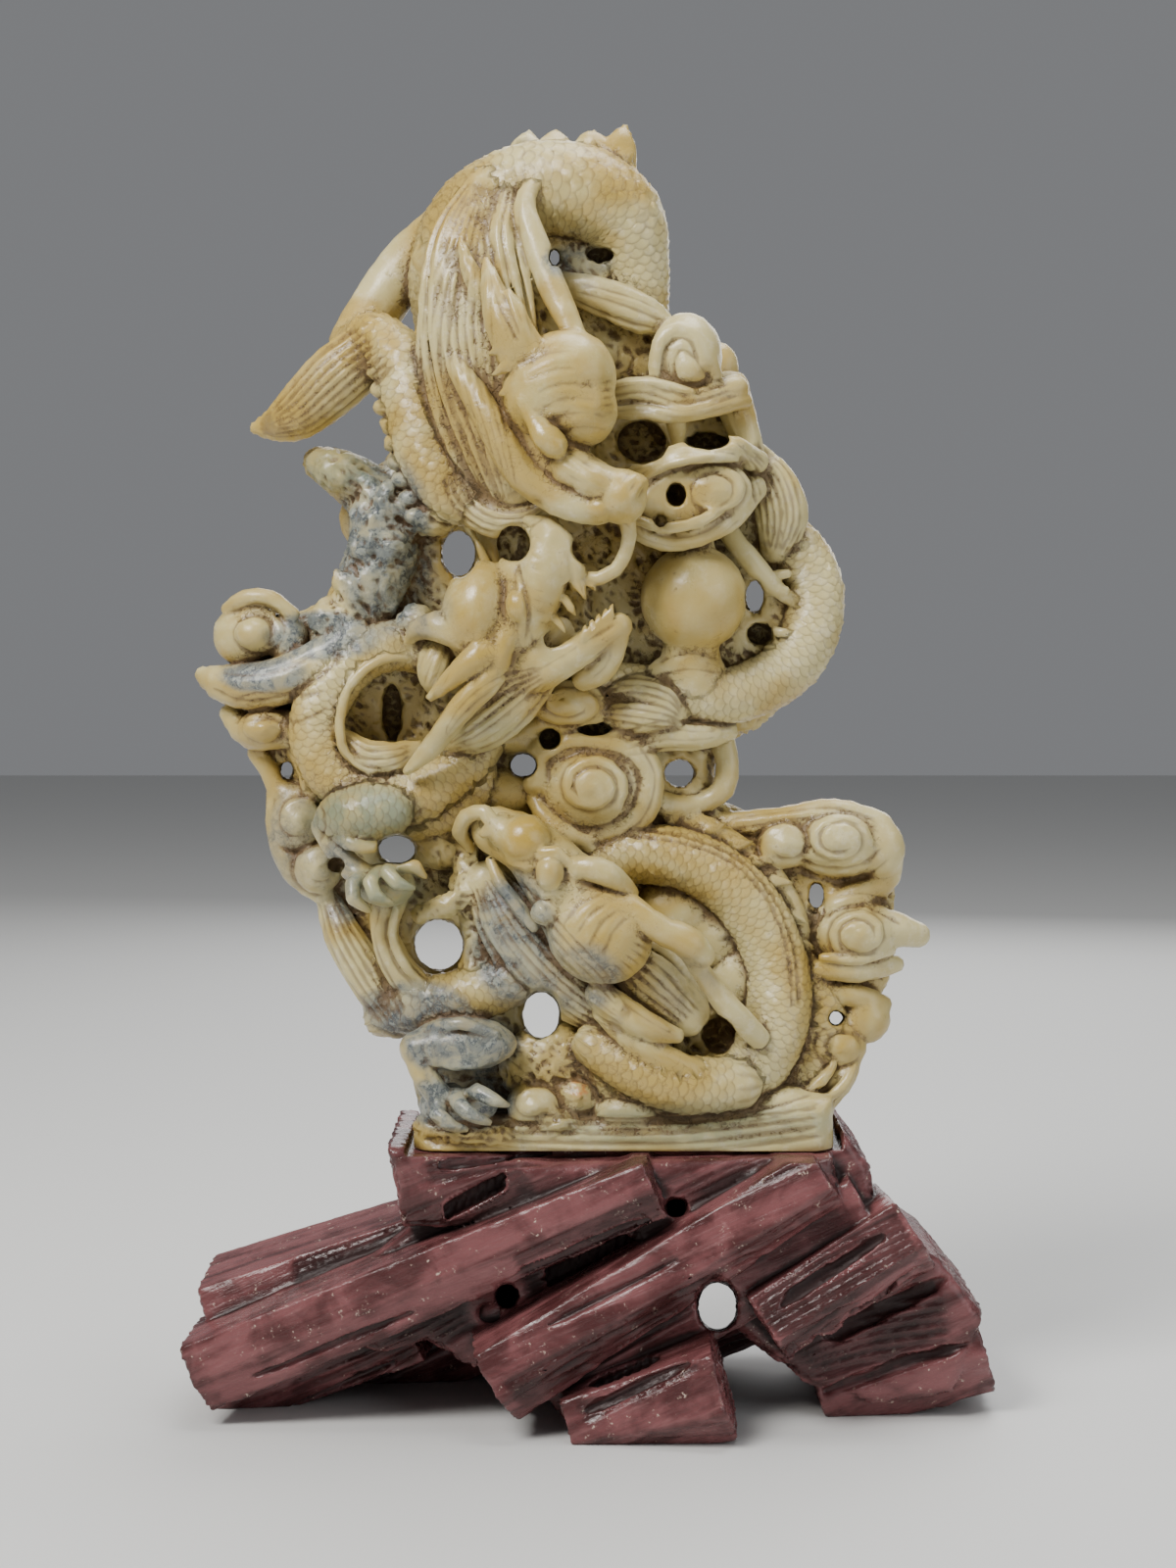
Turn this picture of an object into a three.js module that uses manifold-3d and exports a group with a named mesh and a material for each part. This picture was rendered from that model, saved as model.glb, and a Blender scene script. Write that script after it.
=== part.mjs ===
// A pierced soapstone carving of three dragons, a pearl and clouds, resting on a carved rock plinth.
import * as THREE from 'three';
import { mergeVertices } from 'three/addons/utils/BufferGeometryUtils.js';
import Module from 'manifold-3d';

const wasm = await Module();
wasm.setup();
const { Manifold, Mesh: ManifoldMesh } = wasm;

// Driving sizes in millimetres
const CARVING_HEIGHT = 260;
const CARVING_WIDTH = 186;
const CARVING_DEPTH = 60;
const CARVING_BASE_DEPTH = 44;
const PEARL_DIAMETER = 26.5;
const WEB_THICKNESS = 17;
const WEB_FRONT_DEPTH = -4;
const PLINTH_WIDTH = 198;
const PLINTH_SEAT_HEIGHT = 69;
const PLINTH_DEPTH = 84;
const SEAT_GAP = 0.3;
const SEAT_SIDE_CLEARANCE = 2;

// The layout is read along one line of sight, so each place is [across, down, depth, radius]:
// the first two and the radius in layout units of a quarter millimetre, the depth in millimetres
// with the back positive. These name the sight line, the sizes that the layout was read at, the
// point of the layout, in millimetres, that stands over the part's origin, and how far down the
// layout the seat and the floor are at no depth.
const LAYOUT_UNIT = 0.25;
const LAYOUT_CENTRE = { across: 600, down: 800 };
const ORIGIN = { across: 1.01, back: 2.55 };
const EYE = { distance: 700, height: 200, aim: 160 };
const LAYOUT_CARVING = { height: 260, width: 186, depth: 60 };
const LAYOUT_PLINTH = { width: 198, depth: 84 };
const SEAT_ROW = 1160.74;
const FLOOR_ROW = 1430.75;
const PITCH = Math.atan2(EYE.height - EYE.aim, EYE.distance);
const FOCAL = Math.hypot(EYE.distance, EYE.height - EYE.aim) / LAYOUT_UNIT;

const TUBE_SIDES = 5;
const ROUGH_SIDES = 4;
const BODY_SIDES = 6;
const RIDGE_SIDES = 3;
const BALL_SEGMENTS = 6;
const BALL_RINGS = 4;
const SMALL_MASS = 53;
const TINY_MASS = 19;
const DRILL_SIDES = 8;
const DRILL_REACH = 90;
const CUT_SIZE = 900;

// Sight line of a layout place, in millimetres before any resizing
function sight([across, down, depth]) {
  const u = across - LAYOUT_CENTRE.across;
  const v = LAYOUT_CENTRE.down - down;
  const t = (EYE.distance + depth) / (FOCAL * Math.cos(PITCH) + v * Math.sin(PITCH));
  const z = EYE.height + t * (v * Math.cos(PITCH) - FOCAL * Math.sin(PITCH));
  return new THREE.Vector3(t * u - ORIGIN.across, depth - ORIGIN.back, z);
}

const SEAT_LINE = sight([LAYOUT_CENTRE.across, SEAT_ROW, 0]).z;
const FLOOR_LINE = sight([LAYOUT_CENTRE.across, FLOOR_ROW, 0]).z;
const PLINTH_RISE = PLINTH_SEAT_HEIGHT / (SEAT_LINE - FLOOR_LINE);

// A frame of reference turns layout places into places on one piece at its own driving sizes
const carvingFrame = {
  place(row) {
    const p = sight(row);
    return new THREE.Vector3(
      p.x * CARVING_WIDTH / LAYOUT_CARVING.width,
      p.y * CARVING_DEPTH / LAYOUT_CARVING.depth,
      PLINTH_SEAT_HEIGHT + SEAT_GAP
        + (p.z - SEAT_LINE) * CARVING_HEIGHT / LAYOUT_CARVING.height,
    );
  },
  across: LAYOUT_UNIT * Math.min(
    CARVING_WIDTH / LAYOUT_CARVING.width,
    CARVING_HEIGHT / LAYOUT_CARVING.height,
  ),
  through: CARVING_DEPTH / LAYOUT_CARVING.depth,
};

const plinthFrame = {
  place(row) {
    const p = sight(row);
    return new THREE.Vector3(
      p.x * PLINTH_WIDTH / LAYOUT_PLINTH.width,
      p.y * PLINTH_DEPTH / LAYOUT_PLINTH.depth,
      (p.z - FLOOR_LINE) * PLINTH_RISE,
    );
  },
  across: LAYOUT_UNIT * Math.min(
    PLINTH_WIDTH / LAYOUT_PLINTH.width,
    PLINTH_RISE,
  ),
  through: PLINTH_DEPTH / LAYOUT_PLINTH.depth,
};

// Solids from geometry
function solid(geometry) {
  geometry.deleteAttribute('normal');
  geometry.deleteAttribute('uv');
  const merged = mergeVertices(geometry, 1e-4);
  return new Manifold(new ManifoldMesh({
    numProp: 3,
    vertProperties: new Float32Array(merged.attributes.position.array),
    triVerts: new Uint32Array(merged.index.array),
  }));
}

function join(solids) {
  let row = solids;
  while (row.length > 1) {
    const next = [];
    for (let i = 0; i < row.length; i += 2) {
      next.push(i + 1 < row.length ? row[i].add(row[i + 1]) : row[i]);
    }
    row = next;
  }
  return row[0];
}

function roundSection(sides) {
  return Array.from({ length: sides }, (_, k) => {
    const angle = 2 * Math.PI * k / sides - Math.PI / 2;
    return [Math.cos(angle), Math.sin(angle)];
  });
}

// A limb is swept along its path with its own radius at every place. The section's first value is
// across the path and its second goes through the depth, flattened by `flat`.
function sweep(frame, path, { section, segments, flat = 1, straight = false }) {
  const places = path.map((row) => frame.place(row));
  const curve = straight
    ? new THREE.LineCurve3(places[0], places[places.length - 1])
    : new THREE.CatmullRomCurve3(places, false, 'centripetal');
  const sides = section.length;
  const geometry = new THREE.CylinderGeometry(1, 1, 1, sides, segments);
  const position = geometry.attributes.position;
  const spans = path.length - 1;
  for (let i = 0; i < position.count; i += 1) {
    const share = THREE.MathUtils.clamp(0.5 - position.getY(i), 0, 1);
    const rim = Math.hypot(position.getX(i), position.getZ(i)) > 0.5;
    const turn = Math.atan2(position.getX(i), position.getZ(i)) / (2 * Math.PI);
    const side = ((Math.round(turn * sides) % sides) + sides) % sides;
    const span = Math.min(Math.floor(share * spans), spans - 1);
    const radius = THREE.MathUtils.lerp(path[span][3], path[span + 1][3], share * spans - span);
    const centre = curve.getPoint(share);
    const tangent = curve.getTangent(share);
    const depthward = new THREE.Vector3(0, 1, 0).addScaledVector(tangent, -tangent.y).normalize();
    const sideways = new THREE.Vector3().crossVectors(tangent, depthward);
    if (rim) {
      centre.addScaledVector(sideways, section[side][0] * radius * frame.across);
      centre.addScaledVector(depthward, section[side][1] * radius * frame.across * flat);
    }
    position.setXYZ(i, centre.x, centre.y, centre.z);
  }
  return solid(geometry);
}

function limb(path, { sides = TUBE_SIDES, flat = 1, steps = 1, frame = carvingFrame } = {}) {
  return sweep(frame, path, { section: roundSection(sides), segments: (path.length - 1) * steps, flat });
}

function rough(path) {
  return limb(path, { sides: ROUGH_SIDES });
}

function ridge(path, flat = 1) {
  return limb(path, { sides: RIDGE_SIDES, flat: 1.2 * flat });
}

// An egg-shaped mass: radii across and up in layout units, through in millimetres. A small one
// has fewer facets.
function mass([across, down, depth], [wide, tall, through], tilt = 0, fineness = 1) {
  const reach = Math.max(wide, tall);
  let geometry = new THREE.SphereGeometry(1, BALL_SEGMENTS * fineness, BALL_RINGS * fineness);
  if (reach < SMALL_MASS) {
    geometry = new THREE.IcosahedronGeometry(1, 0);
  }
  if (reach < TINY_MASS) {
    geometry = new THREE.OctahedronGeometry(1, 0);
  }
  geometry.scale(
    wide * carvingFrame.across,
    through * carvingFrame.through,
    tall * carvingFrame.across,
  );
  geometry.rotateY(THREE.MathUtils.degToRad(tilt));
  const centre = carvingFrame.place([across, down, depth]);
  geometry.translate(centre.x, centre.y, centre.z);
  return solid(geometry);
}

// A cloud is a low lobe. A wide one at the front has a raised scroll wound on it; on the others the
// scroll is only surface relief.
const SCROLL_LOBE = 30;
const SCROLL_TURNS = 0.8;
const SCROLL_STEPS = 4;
function cloud([across, down, depth], [wide, tall], { hand = 1, through = 5, behind = false } = {}) {
  const front = depth - (behind ? -1 : 1) * through * 0.8;
  const path = Array.from({ length: SCROLL_STEPS + 1 }, (_, k) => {
    const share = k / SCROLL_STEPS;
    const angle = hand * 2 * Math.PI * SCROLL_TURNS * share + Math.PI / 3;
    const reach = 0.16 + 0.62 * share;
    return [
      across + wide * reach * Math.cos(angle),
      down + tall * reach * Math.sin(angle),
      front,
      Math.min(wide, tall) * 0.15,
    ];
  });
  const lobe = mass([across, down, depth], [wide, tall, through]);
  return behind || Math.max(wide, tall) < SCROLL_LOBE ? lobe : lobe.add(ridge(path));
}

// A slab with the layout's outline, from its front depth to its back depth
function slab(frame, outline, front, back, chamfer = 0) {
  const places = outline.map(([across, down]) => frame.place([across, down, (front + back) / 2]));
  const shape = new THREE.Shape(places.map((p) => new THREE.Vector2(p.x, p.z)));
  const geometry = new THREE.ExtrudeGeometry(shape, {
    depth: (back - front) * frame.through - 2 * chamfer,
    bevelEnabled: chamfer > 0,
    bevelThickness: chamfer,
    bevelSize: chamfer,
    bevelOffset: -chamfer,
    bevelSegments: 1,
    steps: 1,
  });
  geometry.rotateX(Math.PI / 2);
  geometry.translate(0, (back - ORIGIN.back) * frame.through - chamfer, 0);
  return solid(geometry);
}

// A drilled hole runs along the line of sight, as the carver's holes do
function drill(frame, [across, down], [wide, tall], from = -DRILL_REACH, to = DRILL_REACH) {
  const start = frame.place([across, down, from]);
  const end = frame.place([across, down, to]);
  const geometry = new THREE.CylinderGeometry(1, 1, 1, DRILL_SIDES);
  const position = geometry.attributes.position;
  for (let i = 0; i < position.count; i += 1) {
    const centre = position.getY(i) < 0 ? start : end;
    const x = centre.x + position.getX(i) * wide * frame.across;
    const z = centre.z + position.getZ(i) * tall * frame.across;
    position.setXYZ(i, x, centre.y, z);
  }
  return solid(geometry);
}

function block(x, y, z) {
  const geometry = new THREE.BoxGeometry(x[1] - x[0], y[1] - y[0], z[1] - z[0]);
  geometry.translate((x[0] + x[1]) / 2, (y[0] + y[1]) / 2, (z[0] + z[1]) / 2);
  return solid(geometry);
}

// The web of stone that ties the figures together
const WEB_OUTLINE = [
  [470, 250], [515, 185], [630, 170], [656, 230], [668, 320], [735, 385], [765, 480], [805, 560],
  [838, 625], [800, 690], [735, 718], [725, 815], [800, 845], [880, 842], [912, 890], [905, 1000],
  [842, 1110], [842, SEAT_ROW + 24], [440, SEAT_ROW + 24], [415, 1060], [345, 930], [300, 880], [285, 790],
  [232, 690], [250, 650], [345, 610], [370, 500], [420, 440], [420, 350],
];

function web() {
  const back = WEB_FRONT_DEPTH + WEB_THICKNESS;
  return slab(carvingFrame, WEB_OUTLINE, WEB_FRONT_DEPTH, back);
}

// Upper dragon
const ARCH_BODY = [
  [450, 330, 8, 28], [456, 270, 3, 40], [490, 215, -2, 47], [545, 190, -4, 49], [600, 192, -4, 48],
  [640, 230, -2, 40], [655, 300, 2, 28], [672, 365, 4, 22],
];
const ARCH_FINS = [
  [541, 140, 500, 165], [564, 138, 548, 165], [608, 138, 580, 160], [636, 132, 612, 165],
];
const LEFT_LOOP = [
  [378, 350, -1, 28], [407, 372, -9, 31], [425, 425, -12, 31], [445, 485, -13, 31], [512, 520, -12, 24],
];
const BACK_BEND = [[450, 235, 8, 24], [415, 272, 12, 28], [385, 315, 10, 28], [360, 350, 4, 24]];
const TAIL_TUFT = [[260, 437, 2, 5], [300, 418, -2, 21], [345, 382, -4, 29], [385, 356, -5, 29]];
const UPPER_NECK = [
  [502, 192, -9, 22], [488, 250, -13, 38], [492, 330, -17, 50], [508, 400, -18, 54],
  [520, 460, -18, 46], [530, 512, -16, 28],
];
const UPPER_STRANDS = [
  [[486, 186, -11, 6], [448, 270, -17, 11], [440, 360, -20, 11], [462, 435, -20, 11], [508, 528, -16, 7]],
  [[500, 188, -14, 6], [470, 285, -24, 12], [470, 380, -25, 12], [505, 490, -22, 8]],
];
const UPPER_ANTLER = [
  [535, 200, -14, 10], [552, 255, -21, 11], [580, 312, -26, 11], [602, 352, -29, 11], [618, 392, -30, 8],
];
const UPPER_HORN = [[496, 268, -25, 4], [509, 305, -28, 11], [528, 345, -30, 15], [555, 382, -30, 16]];
const UPPER_PRONG = [[522, 305, -29, 4], [533, 330, -31, 9], [548, 365, -31, 10]];
const UPPER_SPIKE = [[470, 248, -24, 3], [482, 282, -27, 8], [496, 318, -27, 9]];
const UPPER_SNOUT = [[568, 415, -29, 38], [590, 450, -31, 35], [612, 483, -32, 28], [630, 508, -33, 20]];
const UPPER_JAW = [
  [460, 368, -26, 7], [492, 412, -31, 12], [522, 470, -33, 12], [560, 508, -33, 14], [608, 522, -33, 12],
];
const UPPER_LEG = [[578, 292, -5, 12], [622, 306, -9, 17], [655, 320, -9, 17], [678, 330, -7, 8]];
const UPPER_BROW = [[528, 405, -33, 6], [560, 380, -40, 9], [596, 372, -39, 8], [620, 388, -35, 5]];

function upperDragon() {
  const fins = ARCH_FINS.map(([tip, top, root, foot]) => ridge(
    [[root, foot + 8, -2, 16], [(root + tip) / 2, (foot + top) / 2, -1, 9], [tip, top, 0, 2]],
    0.6,
  ));
  return [
    limb(ARCH_BODY, { sides: BODY_SIDES }),
    ...fins,
    limb(BACK_BEND),
    limb(LEFT_LOOP, { sides: BODY_SIDES }),
    limb(TAIL_TUFT, { flat: 0.7 }),
    limb(UPPER_NECK, { flat: 0.75 }),
    ...UPPER_STRANDS.map((path) => ridge(path)),
    ridge(UPPER_ANTLER),
    ridge(UPPER_HORN),
    ridge(UPPER_PRONG),
    ridge(UPPER_SPIKE),
    mass([566, 396, -29], [58, 48, 12], -28),
    ridge(UPPER_BROW),
    mass([560, 448, -37], [18, 16, 5]),
    limb(UPPER_SNOUT, { flat: 1 }),
    mass([629, 507, -33], [28, 26, 7]),
    ridge(UPPER_JAW),
    limb(UPPER_LEG, { flat: 0.6 }),
  ];
}

// Clouds, hair and body around the pearl
const PEARL_PLACE = [708, 612, -12];
const PEARL_NECKS = [
  [[706, 535, -12, 18], [707, 565, -12, 22]],
  [[708, 655, -12, 27], [709, 700, -10, 24]],
];
const SHELF = [[612, 408, -12, 14], [655, 402, -16, 16], [700, 412, -18, 15], [750, 398, -12, 14]];
const SHELF_LIP = [[625, 418, -15, 10], [672, 420, -19, 11], [715, 420, -19, 11], [758, 415, -12, 10]];
const SHELF_TOOTH = [[686, 405, -18, 12], [691, 462, -13, 5]];
const CAVITY_COLUMN = [[618, 420, -2, 16], [621, 455, -2, 17], [620, 500, -2, 20]];
const CAVITY_RIGHT = [[745, 400, -6, 20], [758, 440, -8, 16], [768, 480, -8, 16]];
const PEARL_CLOUD_TOP = [
  [640, 498, -18, 12], [678, 468, -22, 14], [742, 458, -21, 14], [772, 472, -12, 12],
];
const PEARL_CLOUD_FOOT = [
  [642, 530, -20, 10], [685, 548, -22, 13], [745, 528, -18, 14], [768, 500, -12, 14],
];
const HAIR_FAN = [[762, 462, -4, 16], [788, 495, -6, 24], [798, 530, -7, 26], [790, 562, -5, 14]];
const HAIR_FOOT = [[740, 540, -8, 14], [772, 566, -6, 15], [812, 606, -5, 14]];
const RIGHT_BODY = [
  [770, 540, 2, 22], [812, 565, 1, 31], [829, 615, -1, 32], [812, 672, -4, 31],
  [765, 706, -6, 29], [700, 711, -8, 27], [600, 690, -8, 18],
];
const TONGUE_CLOUD = [[625, 705, -10, 12], [655, 706, -13, 16], [682, 722, -13, 18], [670, 748, -10, 14]];
const LOW_BAND = [[636, 762, -8, 12], [675, 752, -11, 15], [715, 752, -11, 14], [745, 748, -7, 8]];
const LOW_LOOP = [
  [735, 752, -2, 14], [738, 780, -4, 12], [736, 806, -4, 12], [712, 818, -4, 10], [680, 820, -6, 12],
  [650, 808, -6, 14],
];

function pearlGroup() {
  const radius = PEARL_DIAMETER / 2;
  const pearl = mass(PEARL_PLACE, [radius / carvingFrame.across, radius / carvingFrame.across,
    radius / carvingFrame.through], 0, 2);
  return [
    mass([700, 366, -12], [36, 42, 8]),
    cloud([708, 378, -17], [27, 24]),
    mass([686, 344, -16], [20, 20, 5]),
    mass([732, 378, 7], [22, 28, 4]),
    rough(SHELF),
    ridge(SHELF_LIP),
    ridge(SHELF_TOOTH),
    rough(CAVITY_COLUMN),
    rough(CAVITY_RIGHT),
    rough(PEARL_CLOUD_TOP),
    rough(PEARL_CLOUD_FOOT),
    cloud([728, 502, -20], [34, 28], { hand: -1 }),
    mass([662, 510, -18], [26, 26, 6]),
    pearl,
    ...PEARL_NECKS.map((path) => limb(path)),
    limb(HAIR_FAN, { flat: 0.7 }),
    ridge(HAIR_FOOT),
    limb(RIGHT_BODY, { sides: BODY_SIDES }),
    ridge(TONGUE_CLOUD),
    rough(LOW_BAND),
    rough(LOW_LOOP),
  ];
}

// Rock and clouds on the left
const ROCK_COLUMN = [
  [325, 474, 4, 16], [372, 500, 0, 28], [392, 560, -4, 36], [345, 655, -6, 30],
];
const ROCK_LUMPS = [
  [396, 524, -10, 24, 34, 8], [372, 580, -11, 20, 34, 8], [412, 592, -10, 26, 34, 8], [440, 528, -8, 26, 20, 7],
];
const BOAT_LIP = [
  [206, 690, -2, 8], [250, 710, -8, 14], [320, 688, -13, 15], [362, 652, -12, 10],
];
const LEFT_LEDGE = [[234, 730, -2, 10], [258, 748, -5, 18], [296, 745, -7, 20], [325, 765, -8, 16]];
const HOLE_FIN = [[498, 530, -4, 14], [500, 560, -5, 13], [508, 596, -7, 12]];

function leftRock() {
  return [
    rough(ROCK_COLUMN),
    ...ROCK_LUMPS.map(([a, d, depth, wide, tall, through]) => mass([a, d, depth], [wide, tall, through])),
    mass([250, 650, -2], [32, 32, 8]),
    cloud([262, 646, -7], [28, 24], { hand: -1 }),
    mass([292, 655, -6], [22, 22, 6]),
    rough(BOAT_LIP),
    rough(LEFT_LEDGE),
    cloud([270, 745, -9], [25, 18]),
    ridge(HOLE_FIN, 0.8),
  ];
}

// Middle dragon
const MIDDLE_LOOP = [
  [450, 668, -10, 24], [395, 660, -10, 26], [345, 690, -12, 27], [323, 738, -12, 28],
  [335, 785, -12, 28], [385, 816, -12, 29], [440, 808, -12, 29], [492, 762, -9, 22],
];
const MIDDLE_SNOUT = [[505, 655, -20, 34], [530, 622, -22, 32], [550, 585, -24, 26], [560, 550, -25, 18]];
const MIDDLE_UPPER_JAW = [
  [540, 534, -26, 6], [560, 540, -28, 11], [580, 562, -28, 12], [588, 590, -28, 9],
];
const MIDDLE_CHEEK = [[512, 690, -20, 24], [548, 672, -22, 22], [572, 645, -23, 14]];
const MIDDLE_LOWER_JAW = [
  [535, 702, -20, 14], [572, 684, -23, 14], [604, 662, -25, 13], [633, 642, -26, 11],
];
const MIDDLE_FANGS = [
  [[586, 588, -28, 8], [603, 618, -29, 1.6]],
  [[606, 655, -26, 7], [613, 624, -27, 1.6]],
];
const MIDDLE_BEARD = [[590, 698, -19, 12], [608, 684, -22, 16], [622, 664, -24, 12]];
const MIDDLE_HORNS = [
  [[508, 672, -24, 13], [470, 690, -26, 11], [438, 714, -24, 5]],
  [[514, 690, -24, 14], [474, 722, -26, 12], [446, 756, -25, 10], [413, 788, -22, 5]],
];
const WHISKER_LOOP = [
  [582, 590, -26, 7], [608, 592, -28, 7], [628, 581, -29, 7], [639, 562, -30, 7], [641, 536, -31, 8],
];
const MIDDLE_SHIN = [[336, 846, -16, 15], [350, 878, -19, 13], [382, 900, -21, 13]];
const MIDDLE_FINGERS = [
  [[372, 898, -22, 9], [360, 910, -26, 8], [380, 931, -25, 3]],
  [[388, 896, -24, 9], [382, 906, -29, 8], [402, 922, -28, 3]],
  [[400, 890, -24, 9], [398, 896, -29, 8], [422, 906, -28, 3]],
  [[404, 894, -22, 9], [416, 884, -26, 8], [432, 894, -26, 4]],
];
const PAW_SCROLL = [[430, 934, -12, 10], [455, 926, -14, 12], [476, 908, -12, 12], [474, 870, -6, 14]];
const PAW_COLUMN = [[398, 918, -14, 18], [392, 950, -14, 14], [404, 985, -14, 16], [425, 1010, -12, 18]];
const LOW_LEFT_TUFT = [[335, 918, -4, 12], [350, 955, -7, 19], [378, 1000, -8, 22], [405, 1042, -8, 18]];
const LOW_LEFT_EDGE = [[282, 812, -2, 10], [284, 850, -4, 12], [300, 888, -5, 14], [328, 912, -5, 12]];
const HOLE_I_RIGHT = [[474, 905, -8, 16], [486, 950, -10, 14], [486, 990, -12, 18]];

function middleDragon() {
  return [
    limb(MIDDLE_LOOP, { sides: BODY_SIDES }),
    mass([486, 622, -17], [36, 58, 14], 8),
    mass([502, 655, -17], [38, 36, 12]),
    limb(MIDDLE_SNOUT),
    ridge(MIDDLE_UPPER_JAW),
    limb(MIDDLE_CHEEK),
    ridge(MIDDLE_LOWER_JAW),
    ...MIDDLE_FANGS.map((path) => ridge(path)),
    ridge(MIDDLE_BEARD),
    mass([529, 621, -29], [13, 19, 4.5], -10),
    ...MIDDLE_HORNS.map((path) => ridge(path)),
    mass([446, 678, -15], [22, 22, 6]),
    ridge(WHISKER_LOOP),
    mass([372, 832, -20], [50, 31, 9], -6),
    limb(MIDDLE_SHIN),
    mass([392, 904, -20], [28, 22, 7]),
    ...MIDDLE_FINGERS.map((path) => ridge(path)),
    rough(PAW_SCROLL),
    rough(PAW_COLUMN),
    mass([448, 862, -4], [30, 26, 8]),
    limb(LOW_LEFT_TUFT),
    rough(LOW_LEFT_EDGE),
    mass([302, 842, -6], [24, 30, 6]),
    mass([322, 880, -8], [22, 26, 6]),
    rough(HOLE_I_RIGHT),
  ];
}

// Clouds in the middle
const BIG_CLOUD_RIM = [
  [550, 800, -14, 12], [556, 768, -14, 12], [604, 760, -16, 12], [662, 784, -16, 14],
  [650, 832, -14, 14], [600, 856, -14, 14],
];

function middleClouds() {
  return [
    mass([605, 806, -8], [56, 48, 9]),
    cloud([604, 804, -16], [38, 34]),
    rough(BIG_CLOUD_RIM),
    cloud([580, 722, -11], [46, 24], { through: 9 }),
    mass([515, 812, -4], [40, 26, 8]),
    mass([530, 752, -4], [36, 20, 8]),
  ];
}

// Lower dragon
const RING_BODY = [
  [596, 884, -8, 26], [650, 872, -9, 30], [715, 884, -9, 31], [765, 925, -9, 32],
  [790, 978, -9, 32], [794, 1040, -11, 33], [762, 1094, -12, 34],
  [700, 1114, -13, 33], [630, 1100, -14, 28], [598, 1075, -12, 20],
];
const OUTER_COIL = [
  [812, 985, -3, 24], [833, 1025, -4, 28], [832, 1065, -4, 30], [812, 1102, -5, 28], [780, 1130, -6, 24],
];
const RING_FIN = [
  [650, 832, -4, 5], [710, 838, -5, 10], [775, 882, -6, 10], [816, 945, -6, 9], [816, 1000, -3, 5],
];
const LOWER_FACE = [
  [505, 848, -18, 26], [535, 862, -21, 30], [562, 888, -22, 34], [590, 925, -22, 42], [606, 955, -22, 44],
];
const NOSTRIL_CURL = [
  [478, 862, -16, 8], [470, 845, -20, 8], [482, 832, -23, 8], [500, 836, -25, 8], [500, 852, -25, 6],
];
const LOWER_EAR = [[578, 884, -27, 10], [612, 890, -29, 13], [640, 908, -27, 10]];
const LOWER_BEARD = [
  [500, 905, -12, 26], [525, 945, -13, 34], [560, 985, -14, 34], [600, 1020, -14, 30], [645, 1052, -12, 12],
];
const LOWER_ANTLER = [
  [640, 925, -26, 12], [668, 946, -29, 14], [698, 964, -28, 13], [712, 992, -26, 12],
  [744, 1032, -24, 12], [780, 1064, -20, 6],
];
const LOWER_HORNS = [
  [[625, 1000, -26, 14], [655, 1035, -25, 13], [698, 1062, -22, 6]],
  [[612, 1022, -22, 12], [650, 1062, -22, 12], [700, 1088, -22, 12], [745, 1102, -20, 6]],
];
const HAIR_FAN_LOW = [[635, 985, -18, 26], [668, 1010, -18, 32], [700, 1035, -17, 24]];
const GREY_BODY = [[392, 1038, -6, 22], [425, 1028, -11, 27], [475, 1018, -13, 29], [520, 1002, -13, 27]];
const LOWER_SHIN = [[424, 1072, -22, 15], [438, 1102, -22, 14], [456, 1132, -21, 13]];
const LOWER_TOES = [
  [[452, 1128, -22, 10], [450, 1142, -27, 9], [476, 1153, -26, 4]],
  [[466, 1122, -22, 10], [474, 1132, -28, 9], [498, 1146, -27, 4]],
  [[480, 1116, -22, 10], [492, 1118, -28, 9], [516, 1128, -27, 4]],
];
const BASE_OUTLINE = [
  [426, 1146], [470, 1128], [560, 1120], [700, 1112], [800, 1096], [844, 1110],
  [846, SEAT_ROW + 29], [426, SEAT_ROW + 29],
];
const BASE_BAND = [
  [545, 1150, -16, 16], [620, 1160, -19, 16], [700, 1158, -20, 18], [780, 1148, -17, 18], [838, 1132, -10, 14],
];

function lowerDragon() {
  const baseFront = -CARVING_BASE_DEPTH / 2;
  const baseBack = CARVING_BASE_DEPTH / 2;
  return [
    slab(carvingFrame, BASE_OUTLINE, baseFront, baseBack, 5),
    limb(RING_BODY, { sides: BODY_SIDES }),
    limb(OUTER_COIL),
    limb(RING_FIN, { sides: 4, flat: 0.5 }),
    limb(LOWER_FACE),
    ridge(NOSTRIL_CURL),
    mass([536, 858, -26], [25, 25, 7]),
    mass([561, 893, -30], [16, 20, 5]),
    mass([612, 953, -26], [54, 52, 11], 35),
    mass([556, 932, -29], [14, 13, 4]),
    mass([590, 888, -29], [12, 12, 4]),
    ridge(LOWER_EAR),
    limb(LOWER_BEARD, { flat: 0.8 }),
    ridge(LOWER_ANTLER),
    ...LOWER_HORNS.map((path) => ridge(path)),
    limb(HAIR_FAN_LOW, { flat: 0.8 }),
    mass([700, 945, -4], [56, 42, 6], 20),
    mass([755, 1000, -5], [30, 30, 6]),
    limb(GREY_BODY),
    mass([472, 1066, -20], [54, 27, 9]),
    mass([426, 1070, -22], [17, 17, 5]),
    limb(LOWER_SHIN),
    mass([466, 1128, -18], [38, 22, 8]),
    ...LOWER_TOES.map((path) => ridge(path)),
    mass([545, 1128, -17], [26, 20, 6]),
    rough(BASE_BAND),
  ];
}

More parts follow.
